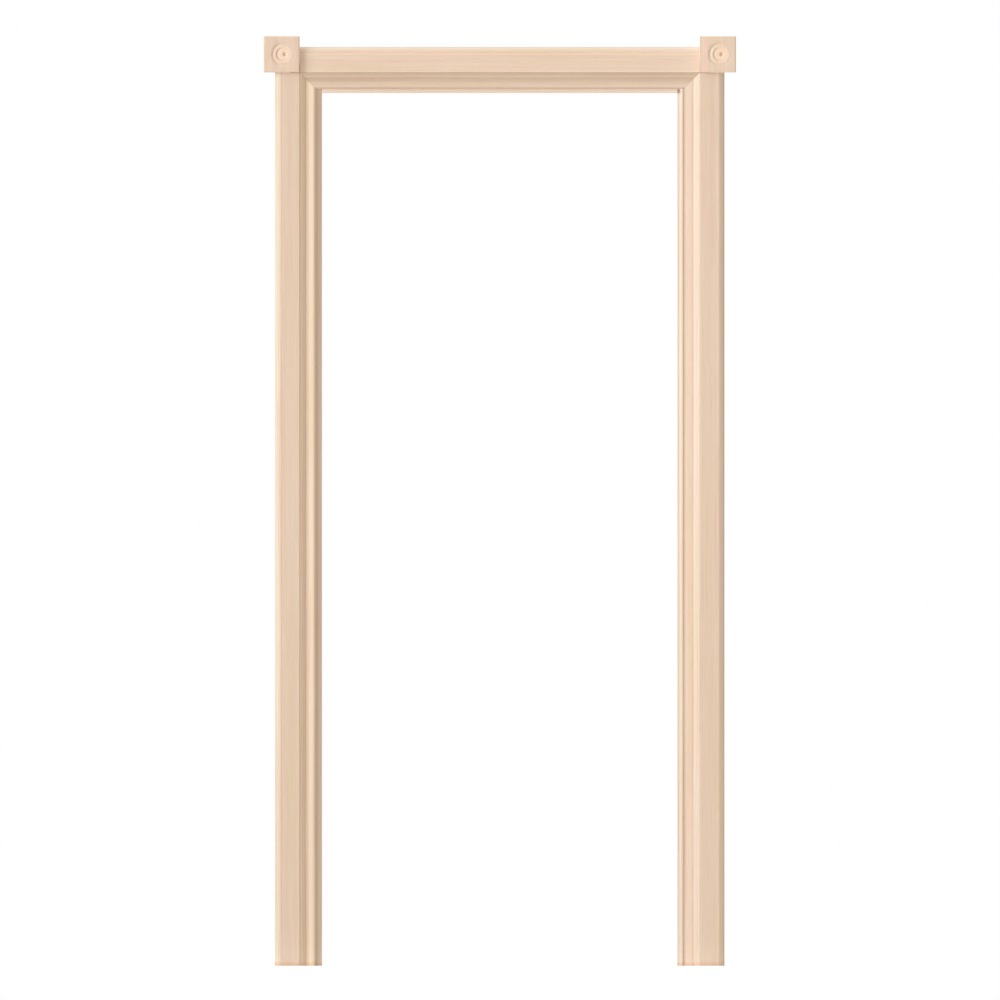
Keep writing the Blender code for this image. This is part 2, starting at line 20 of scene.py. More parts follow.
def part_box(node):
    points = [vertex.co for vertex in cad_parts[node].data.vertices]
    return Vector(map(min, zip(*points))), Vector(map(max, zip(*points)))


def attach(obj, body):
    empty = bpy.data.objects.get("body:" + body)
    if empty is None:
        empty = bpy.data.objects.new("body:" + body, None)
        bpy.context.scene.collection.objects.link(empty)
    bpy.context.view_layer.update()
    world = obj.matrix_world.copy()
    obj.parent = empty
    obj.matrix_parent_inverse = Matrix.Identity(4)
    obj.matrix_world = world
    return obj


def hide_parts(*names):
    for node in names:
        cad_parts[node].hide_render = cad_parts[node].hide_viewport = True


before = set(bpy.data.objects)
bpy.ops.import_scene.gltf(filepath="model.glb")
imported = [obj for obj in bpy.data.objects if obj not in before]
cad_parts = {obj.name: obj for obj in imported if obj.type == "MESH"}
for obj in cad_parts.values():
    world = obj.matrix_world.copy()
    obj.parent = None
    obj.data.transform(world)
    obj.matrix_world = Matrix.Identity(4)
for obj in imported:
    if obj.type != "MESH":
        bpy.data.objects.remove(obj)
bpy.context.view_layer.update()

BODY = "root"
LOG = logging.getLogger("door_frame")

Point = tuple[float, float]
Triple = tuple[float, float, float]
Ring = Sequence[Union[Vector, Triple]]
Colour = tuple[float, float, float, float]
Source = Union[bpy.types.NodeSocket, float, Sequence[float]]

# Clearance that the solids keep to each other
FIT = 0.0003
# How far a cutter runs past the timber that it cuts
CUTTER_PAST = 0.020

# The photo's scale and the two places in it that the camera is set by
PHOTO_SIZE = 1000
METRES_PER_PIXEL = 0.002358
FRAME_MIDDLE_PIXEL = 499.7
FLOOR_PIXEL = 965.75

# Width of the eased arrises on the jambs and on the head behind the mouldings
JAMB_ARRIS = 0.0015

# Slopes of the head stop's lip, at its crest and at the opening, in degrees
HEAD_LIP_TILTS = (6.0, 2.0)
# Height of the crests on the right stop and on the head's, where the groove beside them is shallower
SHALLOW_CREST = 0.0028

# Steps round half a circle or along a curve, and round an eased arris
ROUND_STEPS = 24
EASE_STEPS = 4
# Place of the guard points beside an eased arris, as a multiple of its reach
GUARD_REACH = 1.6
# Distance between the rings of points along a board
RING_SPACING = 0.050
# Angle between faces from which their edge stays sharp
SHARP_ANGLE = math.radians(35)


class Run(Enum):
    """Member of the frame that a board belongs to."""

    LEFT = "left"
    RIGHT = "right"
    HEAD = "head"

    def place(self, u: float, height: float, along: float) -> Vector:
        """Put a section's point at its place in the frame.

        Args:
            u: Distance from the frame's middle, or above the floor on the head.
            height: Distance forward.
            along: Distance along the board's length.

        Returns:
            The point in the frame.
        """
        if self is Run.HEAD:
            return Vector((along, -height, u))
        side = -1 if self is Run.LEFT else 1
        return Vector((side * u, -height, along))

    def across(self) -> Triple:
        """Direction across the member's boards, in its plane."""
        return (0.0, 0.0, 1.0) if self is Run.HEAD else (1.0, 0.0, 0.0)

    def grain(self) -> "Grain":
        """Direction in which the fibres of its boards run."""
        return Grain.LEVEL if self is Run.HEAD else Grain.UPRIGHT


class Edge(Enum):
    """Edge of a board that a strip on its face is measured from."""

    INNER = "inner"
    OUTER = "outer"


class Grain(Enum):
    """Direction in which a piece's fibres run."""

    UPRIGHT = (0.0, 0.0, 1.0)
    LEVEL = (1.0, 0.0, 0.0)
    THROUGH = (0.0, 1.0, 0.0)

    def turn(self) -> Matrix:
        """Rotation that lays the fibres along Z."""
        return Vector(self.value).rotation_difference(Vector((0, 0, 1))).to_matrix()


@dataclass(frozen=True)
class Extent:
    """Room that a board takes, read from its solid.

    Attributes:
        inner: Smallest u.
        outer: Largest u.
        back: Smallest height.
        front: Largest height.
        start: Lowest place along its length.
        end: Highest place along its length.
    """

    inner: float
    outer: float
    back: float
    front: float
    start: float
    end: float

    @classmethod
    def of(cls, node: str, run: Run) -> "Extent":
        """Read the room of a solid.

        Args:
            node: Name of the solid.
            run: Member that it belongs to.

        Returns:
            Its room in the member's own terms.
        """
        low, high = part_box(node)
        if run is Run.HEAD:
            return cls(low.z, high.z, -high.y, -low.y, low.x, high.x)
        if run is Run.LEFT:
            return cls(-high.x, -low.x, -high.y, -low.y, low.z, high.z)
        return cls(low.x, high.x, -high.y, -low.y, low.z, high.z)


@dataclass(frozen=True)
class Knot:
    """Corner of a section.

    Attributes:
        u: Place across the board.
        height: Place forward.
        ease: Radius of its eased arris, or 0 where it stays sharp.
    """

    u: float
    height: float
    ease: float = 0.0


def arc(centre: Point, radii: Point, start: float, end: float, steps: int = ROUND_STEPS) -> list[Knot]:
    """Knots along an ellipse.

    Args:
        centre: Middle of the ellipse.
        radii: Its radius across the board and forward.
        start: First angle, in degrees.
        end: Last angle, in degrees.
        steps: Number of steps between them.

    Returns:
        One knot more than the steps.
    """
    knots = []
    for step in range(steps + 1):
        angle = math.radians(start + (end - start) * step / steps)
        knots.append(Knot(centre[0] + radii[0] * math.cos(angle), centre[1] + radii[1] * math.sin(angle)))
    return knots


def bulged(start: Point, end: Point, bulge: float, steps: int = ROUND_STEPS) -> list[Knot]:
    """Knots on a shallow parabola that stands off the straight line.

    Args:
        start: First point.
        end: Last point.
        bulge: How far the middle stands off, to the left of the way from start to end.
        steps: Number of steps between them.

    Returns:
        One knot more than the steps.
    """
    along = Vector(end) - Vector(start)
    normal = Vector((-along.y, along.x)).normalized()
    knots = []
    for step in range(steps + 1):
        share = step / steps
        rise = 4 * share * (1 - share)
        point = Vector(start) + along * share + normal * (bulge * rise)
        knots.append(Knot(point.x, point.y))
    return knots


def eased_outline(knots: Sequence[Knot]) -> list[Point]:
    """Round the eased corners of a closed outline.

    Args:
        knots: Corners of the section, in order.

    Returns:
        The outline's points, with a guard point on each side of every round.
    """
    points = []
    for index, knot in enumerate(knots):
        here = Vector((knot.u, knot.height))
        if knot.ease == 0:
            points.append((here.x, here.y))
            continue
        before = Vector((knots[index - 1].u, knots[index - 1].height)) - here
        following = knots[(index + 1) % len(knots)]
        after = Vector((following.u, following.height)) - here
        before.normalize()
        after.normalize()
        half = before.angle(after) / 2
        reach = knot.ease / math.tan(half)
        centre = here + (before + after).normalized() * (knot.ease / math.sin(half))
        first = here + before * reach - centre
        last = here + after * reach - centre
        sweep = first.angle(last)
        points.append(tuple(here + before * reach * GUARD_REACH))
        for step in range(EASE_STEPS + 1):
            share = step / EASE_STEPS
            spoke = first * math.sin((1 - share) * sweep) + last * math.sin(share * sweep)
            points.append(tuple(centre + spoke / math.sin(sweep)))
        points.append(tuple(here + after * reach * GUARD_REACH))
    return points


def smooth_curves(mesh: bpy.types.Mesh) -> None:
    """Shade curved faces smooth and keep the arrises sharp."""
    mesh.shade_smooth()
    mesh.set_sharp_from_angle(angle=SHARP_ANGLE)


def as_mesh(name: str, shape: bmesh.types.BMesh) -> bpy.types.Mesh:
    """Turn a shape into a mesh.

    Args:
        name: Name of the mesh.
        shape: The shape, which is freed.

    Returns:
        The mesh.
    """
    mesh = bpy.data.meshes.new(name)
    shape.to_mesh(mesh)
    shape.free()
    return mesh


def lofted_mesh(name: str, rings: Sequence[Ring]) -> bpy.types.Mesh:
    """Join a stack of rings with bands of faces and close both ends.

    Args:
        name: Name of the mesh.
        rings: Points of each ring, as many in each.

    Returns:
        A closed mesh with its faces out and its curves smooth.
    """
    shape = bmesh.new()
    loops = [[shape.verts.new(point) for point in ring] for ring in rings]
    for near, far in zip(loops, loops[1:]):
        for index, corner in enumerate(near):
            following = (index + 1) % len(near)
            shape.faces.new((corner, near[following], far[following], far[index]))
    shape.faces.new(loops[0])
    shape.faces.new(loops[-1])
    bmesh.ops.recalc_face_normals(shape, faces=shape.faces)
    mesh = as_mesh(name, shape)
    smooth_curves(mesh)
    return mesh


def swept_mesh(
        name: str,
        outline: Sequence[Point],
        run: Run,
        start: Callable[[float], float],
        end: Callable[[float], float]) -> bpy.types.Mesh:
    """Sweep a section along a member, between two ends that may be mitred.

    Args:
        name: Name of the mesh.
        outline: Closed section.
        run: Member that the board belongs to.
        start: Lowest place along the length, for each u.
        end: Highest place along the length, for each u.

    Returns:
        A closed mesh.
    """
    straight_start = max(start(u) for u, _ in outline)
    straight_end = min(end(u) for u, _ in outline)
    count = math.ceil((straight_end - straight_start) / RING_SPACING)
    rings = [[run.place(u, height, start(u)) for u, height in outline]]
    for step in range(1, count):
        along = straight_start + (straight_end - straight_start) * step / count
        rings.append([run.place(u, height, along) for u, height in outline])
    rings.append([run.place(u, height, end(u)) for u, height in outline])
    return lofted_mesh(name, rings)


def box_mesh(name: str, low: Vector, high: Vector) -> bpy.types.Mesh:
    """A box between two corners, starting as a cube.

    Args:
        name: Name of the mesh.
        low: Lowest corner.
        high: Highest corner.

    Returns:
        The mesh.
    """
    shape = bmesh.new()
    bmesh.ops.create_cube(shape, size=1.0)
    bmesh.ops.scale(shape, vec=high - low, verts=shape.verts)
    bmesh.ops.translate(shape, vec=(low + high) / 2, verts=shape.verts)
    return as_mesh(name, shape)


def round_bar(
        name: str,
        radius: float,
        low: float,
        high: float,
        centre: Point,
        chamfer: float = 0.0) -> bpy.types.Mesh:
    """A round bar along Y.

    Args:
        name: Name of the mesh.
        radius: Radius of the bar.
        low: Lowest Y.
        high: Highest Y.
        centre: X and Z of its axis.
        chamfer: Width of the chamfers on its ends, or 0 for square ends.

    Returns:
        A closed mesh.
    """
    stations = [(low, radius), (high, radius)]
    if chamfer > 0:
        stations = [
            (low, radius - chamfer), (low + chamfer, radius),
            (high - chamfer, radius), (high, radius - chamfer)]
    angles = [math.pi * step / ROUND_STEPS for step in range(2 * ROUND_STEPS)]
    return lofted_mesh(name, [
        [(centre[0] + reach * math.cos(angle), y, centre[1] + reach * math.sin(angle)) for angle in angles]
        for y, reach in stations])


def linked(name: str, data: Union[bpy.types.Mesh, bpy.types.Light, bpy.types.Camera]) -> bpy.types.Object:
    """Put a mesh, a lamp or a camera in the scene as an object.

    Args:
        name: Name of the object.
        data: What it holds.

    Returns:
        The object.
    """
    item = bpy.data.objects.new(name, data)
    bpy.context.scene.collection.objects.link(item)
    return item


def applied(item: bpy.types.Object) -> bpy.types.Mesh:
    """Take an object's mesh as its modifiers leave it.

    Args:
        item: The object, which is removed.

    Returns:
        The mesh.
    """
    bpy.context.view_layer.update()
    depsgraph = bpy.context.evaluated_depsgraph_get()
    mesh = bpy.data.meshes.new_from_object(item.evaluated_get(depsgraph))
    bpy.data.objects.remove(item)
    return mesh


def cut_mesh(
        name: str,
        mesh: bpy.types.Mesh,
        cutters: Sequence[bpy.types.Mesh],
        arris: float) -> bpy.types.Mesh:
    """Ease the arrises of a blank and cut other shapes out of it.

    Args:
        name: Name of the finished mesh.
        mesh: The blank.
        cutters: Shapes that are taken away.
        arris: Width of the eased arrises.

    Returns:
        The finished mesh.
    """
    blank = linked(name, mesh)
    bevel = blank.modifiers.new("arrises", "BEVEL")
    bevel.width = arris
    bevel.segments = EASE_STEPS
    tools = [linked(cutter.name, cutter) for cutter in cutters]
    for tool in tools:
        boolean = blank.modifiers.new("cut " + tool.name, "BOOLEAN")
        boolean.operation = "DIFFERENCE"
        boolean.solver = "EXACT"
        boolean.object = tool
    finished = applied(blank)
    for tool in tools:
        bpy.data.objects.remove(tool)
    finished.name = name
    smooth_curves(finished)
    return finished


def srgb(red: int, green: int, blue: int) -> Colour:
    """Turn an 8-bit sRGB colour into a linear one, by the standard's curve.

    Args:
        red: Its red, from 0 to 255.
        green: Its green.
        blue: Its blue.

    Returns:
        The linear colour.
    """
    channels = []
    for value in (red, green, blue):
        share = value / 255
        channels.append(share / 12.92 if share <= 0.04045 else ((share + 0.055) / 1.055) ** 2.4)
    return (channels[0], channels[1], channels[2], 1.0)


def even(share: float) -> Triple:
    """Tint that changes red, green and blue alike."""
    return (share, share, share)


class SocketKind(Enum):
    """Kind of a shader group's socket."""

    VALUE = "NodeSocketFloat"
    COLOUR = "NodeSocketColor"
    VECTOR = "NodeSocketVector"


Sockets = dict[str, SocketKind]


class Sheet:
    """A shader node tree, with short ways to add nodes and join them."""

    # Layout of the nodes
    COLUMNS = 8
    STEP = (220, 260)
    # Numbers of the Mix node's sockets that carry colours
    FIRST_COLOUR = 6
    SECOND_COLOUR = 7
    MIXED_COLOUR = 2

    def __init__(self, tree: bpy.types.NodeTree) -> None:
        """Work on a tree."""
        self.tree = tree

    def add(
            self,
            kind: str,
            inputs: Optional[dict[Union[str, int], Source]] = None,
            **fields: Union[str, bpy.types.NodeTree]) -> bpy.types.Node:
        """Add a node.

        Args:
            kind: Blender's name of the node.
            inputs: What each named or numbered input takes.
            **fields: Settings of the node itself.

        Returns:
            The node.
        """
        index = len(self.tree.nodes)
        node = self.tree.nodes.new(kind)
        node.location = (index % self.COLUMNS * self.STEP[0], -(index // self.COLUMNS) * self.STEP[1])
        for name, value in fields.items():
            setattr(node, name, value)
        for key, source in (inputs or {}).items():
            self.feed(node.inputs[key], source)
        return node

    def feed(self, socket: bpy.types.NodeSocket, source: Source) -> None:
        """Give an input what it takes.

        Args:
            socket: The input.
            source: Another node's output, or a fixed value.
        """
        if isinstance(source, bpy.types.NodeSocket):
            self.tree.links.new(source, socket)
        else:
            socket.default_value = source

    def math(self, operation: str, *sources: Source) -> bpy.types.NodeSocket:
        """Result of a Math node."""
        return self.add("ShaderNodeMath", dict(enumerate(sources)), operation=operation).outputs[0]

    def product(self, first: Source, *others: Source) -> Source:
        """Multiply values.

        Args:
            first: First value.
            *others: What it is multiplied by.

        Returns:
            Their product.
        """
        for other in others:
            first = self.math("MULTIPLY", first, other)
        return first

    def line(self, value: Source, slope: Source, base: Source) -> bpy.types.NodeSocket:
        """A value times a slope, on top of a base."""
        return self.math("MULTIPLY_ADD", value, slope, base)

    def vector(self, operation: str, *sources: Source) -> bpy.types.NodeSocket:
        """Vector result of a Vector Math node."""
        return self.add("ShaderNodeVectorMath", dict(enumerate(sources)), operation=operation).outputs[0]

    def measure(self, operation: str, *sources: Source) -> bpy.types.NodeSocket:
        """Value that a Vector Math node measures, such as a length."""
        node = self.add("ShaderNodeVectorMath", dict(enumerate(sources)), operation=operation)
        return node.outputs["Value"]

    def part(self, place: Source, axis: str) -> bpy.types.NodeSocket:
        """One coordinate of a point."""
        return self.add("ShaderNodeSeparateXYZ", {0: place}).outputs[axis]

    def frame_place(self) -> bpy.types.NodeSocket:
        """The shaded point, in the frame's space."""
        return self.add("ShaderNodeTexCoord").outputs["Object"]

    def ramp(self, value: Source, low: float, high: float) -> bpy.types.NodeSocket:
        """Take a smooth step of a value.

        Args:
            value: The value.
            low: Where the step is 0.
            high: Where it is 1, which may be less than low.

        Returns:
            The step, from 0 to 1.
        """
        node = self.add(
            "ShaderNodeMapRange", {"Value": value, "From Min": low, "From Max": high},
            interpolation_type="SMOOTHSTEP")
        return node.outputs["Result"]

    def blend(self, share: Source, first: Source, second: Source, mode: str = "MIX") -> bpy.types.NodeSocket:
        """Blend two colours.

        Args:
            share: Share of the second colour.
            first: First colour.
            second: Second colour.
            mode: Blend mode.

        Returns:
            The blended colour.
        """
        node = self.add(
            "ShaderNodeMix", {0: share, self.FIRST_COLOUR: first, self.SECOND_COLOUR: second},
            data_type="RGBA", blend_type=mode)
        return node.outputs[self.MIXED_COLOUR]


@dataclass(frozen=True)
class Noise:
    """Noise in a stretched space.

    Attributes:
        waves: Waves in a metre along each axis.
        low: Noise at which its mask starts.
        high: Noise at which its mask is full.
        detail: Octaves of finer noise.
        shift: How far off it is read, so that like noises stay apart.
    """

    waves: Triple
    low: float = 0.0
    high: float = 1.0
    detail: float = 2.0
    shift: Optional[Triple] = None

    def outputs(self, sheet: Sheet, place: Source) -> bpy.types.NodeOutputs:
        """Add the noise to a tree.

        Args:
            sheet: The tree's nodes.
            place: Point that it is read at.

        Returns:
            The noise node's outputs.
        """
        if self.shift is not None:
            place = sheet.vector("ADD", place, self.shift)
        stretched = sheet.vector("MULTIPLY", place, self.waves)
        node = sheet.add("ShaderNodeTexNoise", {"Vector": stretched, "Scale": 1.0, "Detail": self.detail})
        return node.outputs

    def value(self, sheet: Sheet, place: Source) -> bpy.types.NodeSocket:
        """The noise, from 0 to 1."""
        return self.outputs(sheet, place)["Fac"]

    def swing(self, sheet: Sheet, place: Source) -> bpy.types.NodeSocket:
        """The noise, about 0."""
        return sheet.math("SUBTRACT", self.value(sheet, place), 0.5)

    def drift(self, sheet: Sheet, place: Source) -> bpy.types.NodeSocket:
        """Three noises about 0, as a vector."""
        return sheet.vector("SUBTRACT", self.outputs(sheet, place)["Color"], (0.5, 0.5, 0.5))

    def mask(self, sheet: Sheet, place: Source) -> bpy.types.NodeSocket:
        """Smooth mask of the places where the noise is high."""
        return sheet.ramp(self.value(sheet, place), self.low, self.high)


class Group:
    """A shader node group with named inputs and outputs, built once and placed in many materials."""

    NAME = "group"
    INPUTS: Sockets = {}
    OUTPUTS: Sockets = {}

    def __init__(self) -> None:
        """Make the group's sockets and the nodes between them."""
        self.tree = bpy.data.node_groups.new(self.NAME, "ShaderNodeTree")
        for direction, sockets in (("INPUT", self.INPUTS), ("OUTPUT", self.OUTPUTS)):
            for name, kind in sockets.items():
                self.tree.interface.new_socket(name=name, in_out=direction, socket_type=kind.value)
        self.sheet = Sheet(self.tree)
        self.given = self.sheet.add("NodeGroupInput").outputs
        self.result = self.sheet.add("NodeGroupOutput").inputs
        self.fill()

    def fill(self) -> None:
        """Add the nodes that make the effect."""
        raise NotImplementedError

    def put(self, name: str, source: Source) -> None:
        """Feed one of the outputs."""
        self.sheet.feed(self.result[name], source)

    def use(self, sheet: Sheet, **inputs: Source) -> bpy.types.NodeOutputs:
        """Place the group in a material.

        Args:
            sheet: The material's nodes.
            **inputs: What each input takes, with _ for a space in its name.

        Returns:
            The placed group's outputs.
        """
        node = sheet.add("ShaderNodeGroup", node_tree=self.tree)
        for name, source in inputs.items():
            sheet.feed(node.inputs[name.replace("_", " ")], source)
        return node.outputs


class SolidTimber(Group):
    """Straight-grained timber with its fibres along Z and its pith on the Z axis."""

    NAME = "solid_timber"
    INPUTS = {
        "Vector": SocketKind.VECTOR, "Ring Width": SocketKind.VALUE, "Ring Strength": SocketKind.VALUE,
        "Streak Strength": SocketKind.VALUE, "Fibre Strength": SocketKind.VALUE,
        "End Grain": SocketKind.VALUE, "Pale": SocketKind.COLOUR, "Deep": SocketKind.COLOUR,
        "Rosy": SocketKind.COLOUR, "Honey": SocketKind.COLOUR,
    }
    OUTPUTS = {"Color": SocketKind.COLOUR, "Roughness": SocketKind.VALUE, "Height": SocketKind.VALUE}

    # The stem's slow bends and the fibres' finer wander, and how far each reaches across
    BEND = Noise((2.6, 2.6, 0.7))
    BEND_REACH = (0.030, 0.030, 0.0)
    WANDER = Noise((16, 16, 4))
    WANDER_REACH = (0.0022, 0.0022, 0.0)

    # Uneven seasons, and how many years they shift the rings by
    SEASONS = Noise((24, 24, 0.5))
    SEASON_YEARS = 3.0
    # Where in a year the late wood darkens and where it ends, and how bold the faintest year is
    DARKENING = (0.25, 0.90)
    YEAR_END = (1.0, 0.93)
    FAINTEST_YEAR = 0.3

    # Broad streaks of warmer and of yellower wood
    ROSY_STREAK = Noise((70, 70, 2.0), 0.46, 0.70)
    HONEY_STREAK = Noise((55, 55, 1.6), 0.48, 0.72, shift=(3.1, 5.7, 1.3))

    # Fibres and their broader strands, short dark pores and the small flecks between them
    FIBRE = Noise((1900, 1900, 38), detail=3.0)
    STRAND = Noise((420, 420, 7))
    PORE = Noise((2900, 2900, 190), 0.66, 0.76, detail=1.0)
    FLECK = Noise((850, 850, 240), 0.68, 0.76, detail=1.0, shift=(1.7, 0.9, 4.4))
    FLECK_SHARE = 0.45
    PORE_COLOUR = 0.5

    # How far fibres, strands and cut ends change the colour's value, and how much richer a cut end is
    FIBRE_SHADE = 0.30
    STRAND_SHADE = 0.22
    END_SHADE = -0.20
    END_SATURATION = 0.14

    # Roughness of the wood, and what fibres, rings and cut ends add to it
    ROUGHNESS = 0.56
    FIBRE_ROUGHNESS = 0.16
    RING_ROUGHNESS = -0.10
    END_ROUGHNESS = 0.18

    # Height of the surface, and what fibres, pores and rings add to it
    HEIGHT = 0.5
    FIBRE_HEIGHT = 0.7
    PORE_HEIGHT = -0.6
    RING_HEIGHT = 0.25

    def fill(self) -> None:
        """Add the nodes that make the effect."""
        sheet, given = self.sheet, self.given
        end, fibre_strength = given["End Grain"], given["Fibre Strength"]

        # The bends carry every ring and fibre with them
        place = given["Vector"]
        place = sheet.vector("MULTIPLY_ADD", self.BEND.drift(sheet, place), self.BEND_REACH, place)
        place = sheet.vector("MULTIPLY_ADD", self.WANDER.drift(sheet, place), self.WANDER_REACH, place)
        ring = self.rings(place)
        fibre = self.FIBRE.swing(sheet, place)
        pore = sheet.line(self.FLECK.mask(sheet, place), self.FLECK_SHARE, self.PORE.mask(sheet, place))
        dark = sheet.product(pore, fibre_strength)

        rosy = sheet.product(self.ROSY_STREAK.mask(sheet, place), given["Streak Strength"])
        honey = sheet.product(self.HONEY_STREAK.mask(sheet, place), given["Streak Strength"])
        colour = sheet.blend(rosy, given["Pale"], given["Rosy"])
        colour = sheet.blend(honey, colour, given["Honey"])
        colour = sheet.blend(ring, colour, given["Deep"])
        colour = sheet.blend(sheet.product(dark, self.PORE_COLOUR), colour, given["Deep"])

        strand = sheet.product(self.STRAND.swing(sheet, place), self.STRAND_SHADE)
        shade = sheet.line(sheet.line(fibre, self.FIBRE_SHADE, strand), fibre_strength, 1.0)
        shade = sheet.product(shade, sheet.line(end, self.END_SHADE, 1.0))
        saturation = sheet.line(end, self.END_SATURATION, 1.0)
        toned = sheet.add(
            "ShaderNodeHueSaturation", {"Saturation": saturation, "Value": shade, "Color": colour})
        self.put("Color", toned.outputs["Color"])

        rough = sheet.line(fibre, self.FIBRE_ROUGHNESS, self.ROUGHNESS)
        rough = sheet.line(ring, self.RING_ROUGHNESS, rough)
        self.put("Roughness", sheet.line(end, self.END_ROUGHNESS, rough))
        height = sheet.line(fibre, self.FIBRE_HEIGHT, self.HEIGHT)
        height = sheet.line(dark, self.PORE_HEIGHT, height)
        self.put("Height", sheet.line(ring, self.RING_HEIGHT, height))

    def rings(self, place: Source) -> Source:
        """Add the growth rings, each darkening slowly to a crisp edge, some years bolder than others.

        Args:
            place: Point in the log.

        Returns:
            How dark the ring is, from 0 to 1.
        """
        sheet, given = self.sheet, self.given
        radius = sheet.measure("LENGTH", sheet.vector("MULTIPLY", place, (1, 1, 0)))
        years = sheet.math("DIVIDE", radius, given["Ring Width"])
        years = sheet.line(self.SEASONS.value(sheet, place), self.SEASON_YEARS, years)
        season = sheet.math("FRACT", years)
        late = sheet.product(sheet.ramp(season, *self.DARKENING), sheet.ramp(season, *self.YEAR_END))
        year = sheet.math("FLOOR", years)
        chance = sheet.add("ShaderNodeTexWhiteNoise", {"W": year}, noise_dimensions="1D")
        bold = sheet.line(chance.outputs["Value"], 1 - self.FAINTEST_YEAR, self.FAINTEST_YEAR)
        return sheet.product(late, bold, given["Ring Strength"])


class EndGrain(Group):
    """Mask of the faces that the fibres end on."""

    NAME = "end_grain"
    INPUTS = {"Fibres": SocketKind.VECTOR}
    OUTPUTS = {"Mask": SocketKind.VALUE}

    # How squarely a face cuts the fibres, where the mask starts and where it is full
    SQUARENESS = (0.45, 0.95)

    def fill(self) -> None:
        """Add the nodes that make the effect."""
        sheet = self.sheet
        normal = sheet.add("ShaderNodeNewGeometry").outputs["Normal"]
        facing = sheet.measure("DOT_PRODUCT", normal, self.given["Fibres"])
        self.put("Mask", sheet.ramp(sheet.math("ABSOLUTE", facing), *self.SQUARENESS))


class KnifeMarks(Group):
    """Shallow ripples that a planer's knives leave across the fibres."""

    NAME = "knife_marks"
    INPUTS = {"Vector": SocketKind.VECTOR, "Pitch": SocketKind.VALUE, "Depth": SocketKind.VALUE}
    OUTPUTS = {"Height": SocketKind.VALUE}

    # How the strokes waver, and the patches where they show
    WAVER = Noise((30, 30, 6))
    PATCHES = Noise((9, 9, 3), 0.35, 0.65)

    def fill(self) -> None:
        """Add the nodes that make the effect."""
        sheet, given = self.sheet, self.given
        strokes = sheet.math("DIVIDE", sheet.part(given["Vector"], "Z"), given["Pitch"])
        strokes = sheet.math("ADD", strokes, self.WAVER.value(sheet, given["Vector"]))
        ripple = sheet.math("ABSOLUTE", sheet.math("SINE", sheet.product(strokes, math.pi)))
        self.put("Height", sheet.product(ripple, self.PATCHES.mask(sheet, given["Vector"]), given["Depth"]))


class TurningMarks(Group):
    """Fine rings of the turning tool on a rosette, with a mask of its paler inside and a mask of painted
    shade in its inner groove.
    """

    NAME = "turning_marks"
    INPUTS = {"Vector": SocketKind.VECTOR, "Centre": SocketKind.VECTOR, "Radius": SocketKind.VALUE}
    OUTPUTS = {"Height": SocketKind.VALUE, "Mask": SocketKind.VALUE, "Groove Shade": SocketKind.VALUE}

    # Phase of the fine rings, in radians a metre, and the noise that keeps them uneven
    TOOL_PHASE = 9000.0
    CHATTER = Noise((60, 60, 60))
    # Shares of the radius where each mask starts and is full, on both sides of the groove
    PALER_INSIDE = (0.80, 0.60)
    GROOVE_INSIDE = (0.43, 0.49)
    GROOVE_OUTSIDE = (0.615, 0.57)

    def fill(self) -> None:
        """Add the nodes that make the effect."""
        sheet, given = self.sheet, self.given
        spoke = sheet.vector("SUBTRACT", given["Vector"], given["Centre"])
        spoke = sheet.vector("MULTIPLY", spoke, (1, 0, 1))
        radius = sheet.measure("LENGTH", spoke)
        ripple = sheet.math("SINE", sheet.line(radius, self.TOOL_PHASE, self.CHATTER.value(sheet, spoke)))
        self.put("Height", sheet.product(ripple, sheet.math("LESS_THAN", radius, given["Radius"])))
        share = sheet.math("DIVIDE", radius, given["Radius"])
        self.put("Mask", sheet.ramp(share, *self.PALER_INSIDE))

        # Painted shade in the inner groove, strongest on the left, where the leaning cutter went deepest and
        # the lamps from the left leave its wall in shade
        rightward = sheet.math("DIVIDE", sheet.part(spoke, "X"), radius)
        leftward = sheet.math("POWER", sheet.line(rightward, -0.5, 0.5), 2.0)
        inside = sheet.ramp(share, *self.GROOVE_INSIDE)
        outside = sheet.ramp(share, *self.GROOVE_OUTSIDE)
        self.put("Groove Shade", sheet.product(inside, outside, leftward))


class StripMask(Group):
    """Mask of a strip of painted light or shade along a board, between two distances across it."""

    NAME = "toned_strip"
    INPUTS = {
        "Vector": SocketKind.VECTOR, "Across": SocketKind.VECTOR, "Start": SocketKind.VALUE,
        "End": SocketKind.VALUE, "Softness": SocketKind.VALUE,
    }
    OUTPUTS = {"Mask": SocketKind.VALUE}

    # Shares of the softness before and past the strip's side
    FADE = (-0.5, 0.5)

    def fill(self) -> None:
        """Add the nodes that make the effect."""
        sheet, given = self.sheet, self.given
        distance = sheet.math("ABSOLUTE", sheet.measure("DOT_PRODUCT", given["Vector"], given["Across"]))
        past_start = sheet.math("DIVIDE", sheet.math("SUBTRACT", distance, given["Start"]), given["Softness"])
        before_end = sheet.math("DIVIDE", sheet.math("SUBTRACT", given["End"], distance), given["Softness"])
        mask = sheet.product(sheet.ramp(past_start, *self.FADE), sheet.ramp(before_end, *self.FADE))
        self.put("Mask", mask)


class ArrisWearAndHighlight(Group):
    """Mask of the proud arrises, brightened by sanding and handling and as a painted highlight."""

    NAME = "arris_wear"
    INPUTS = {"Vector": SocketKind.VECTOR}
    OUTPUTS = {"Mask": SocketKind.VALUE}

    # Pointiness at which the wear and painted highlight start and are full, the least of them and what more
    # handling adds
    PROUD = (0.505, 0.56)
    HANDLING = Noise((40, 40, 12))
    LEAST = 0.6
    UNEVEN = 0.6

    def fill(self) -> None:
        """Add the nodes that make the effect."""
        sheet = self.sheet
        sharpness = sheet.add("ShaderNodeNewGeometry").outputs["Pointiness"]
        uneven = sheet.line(self.HANDLING.value(sheet, self.given["Vector"]), self.UNEVEN, self.LEAST)
        self.put("Mask", sheet.product(sheet.ramp(sharpness, *self.PROUD), uneven))


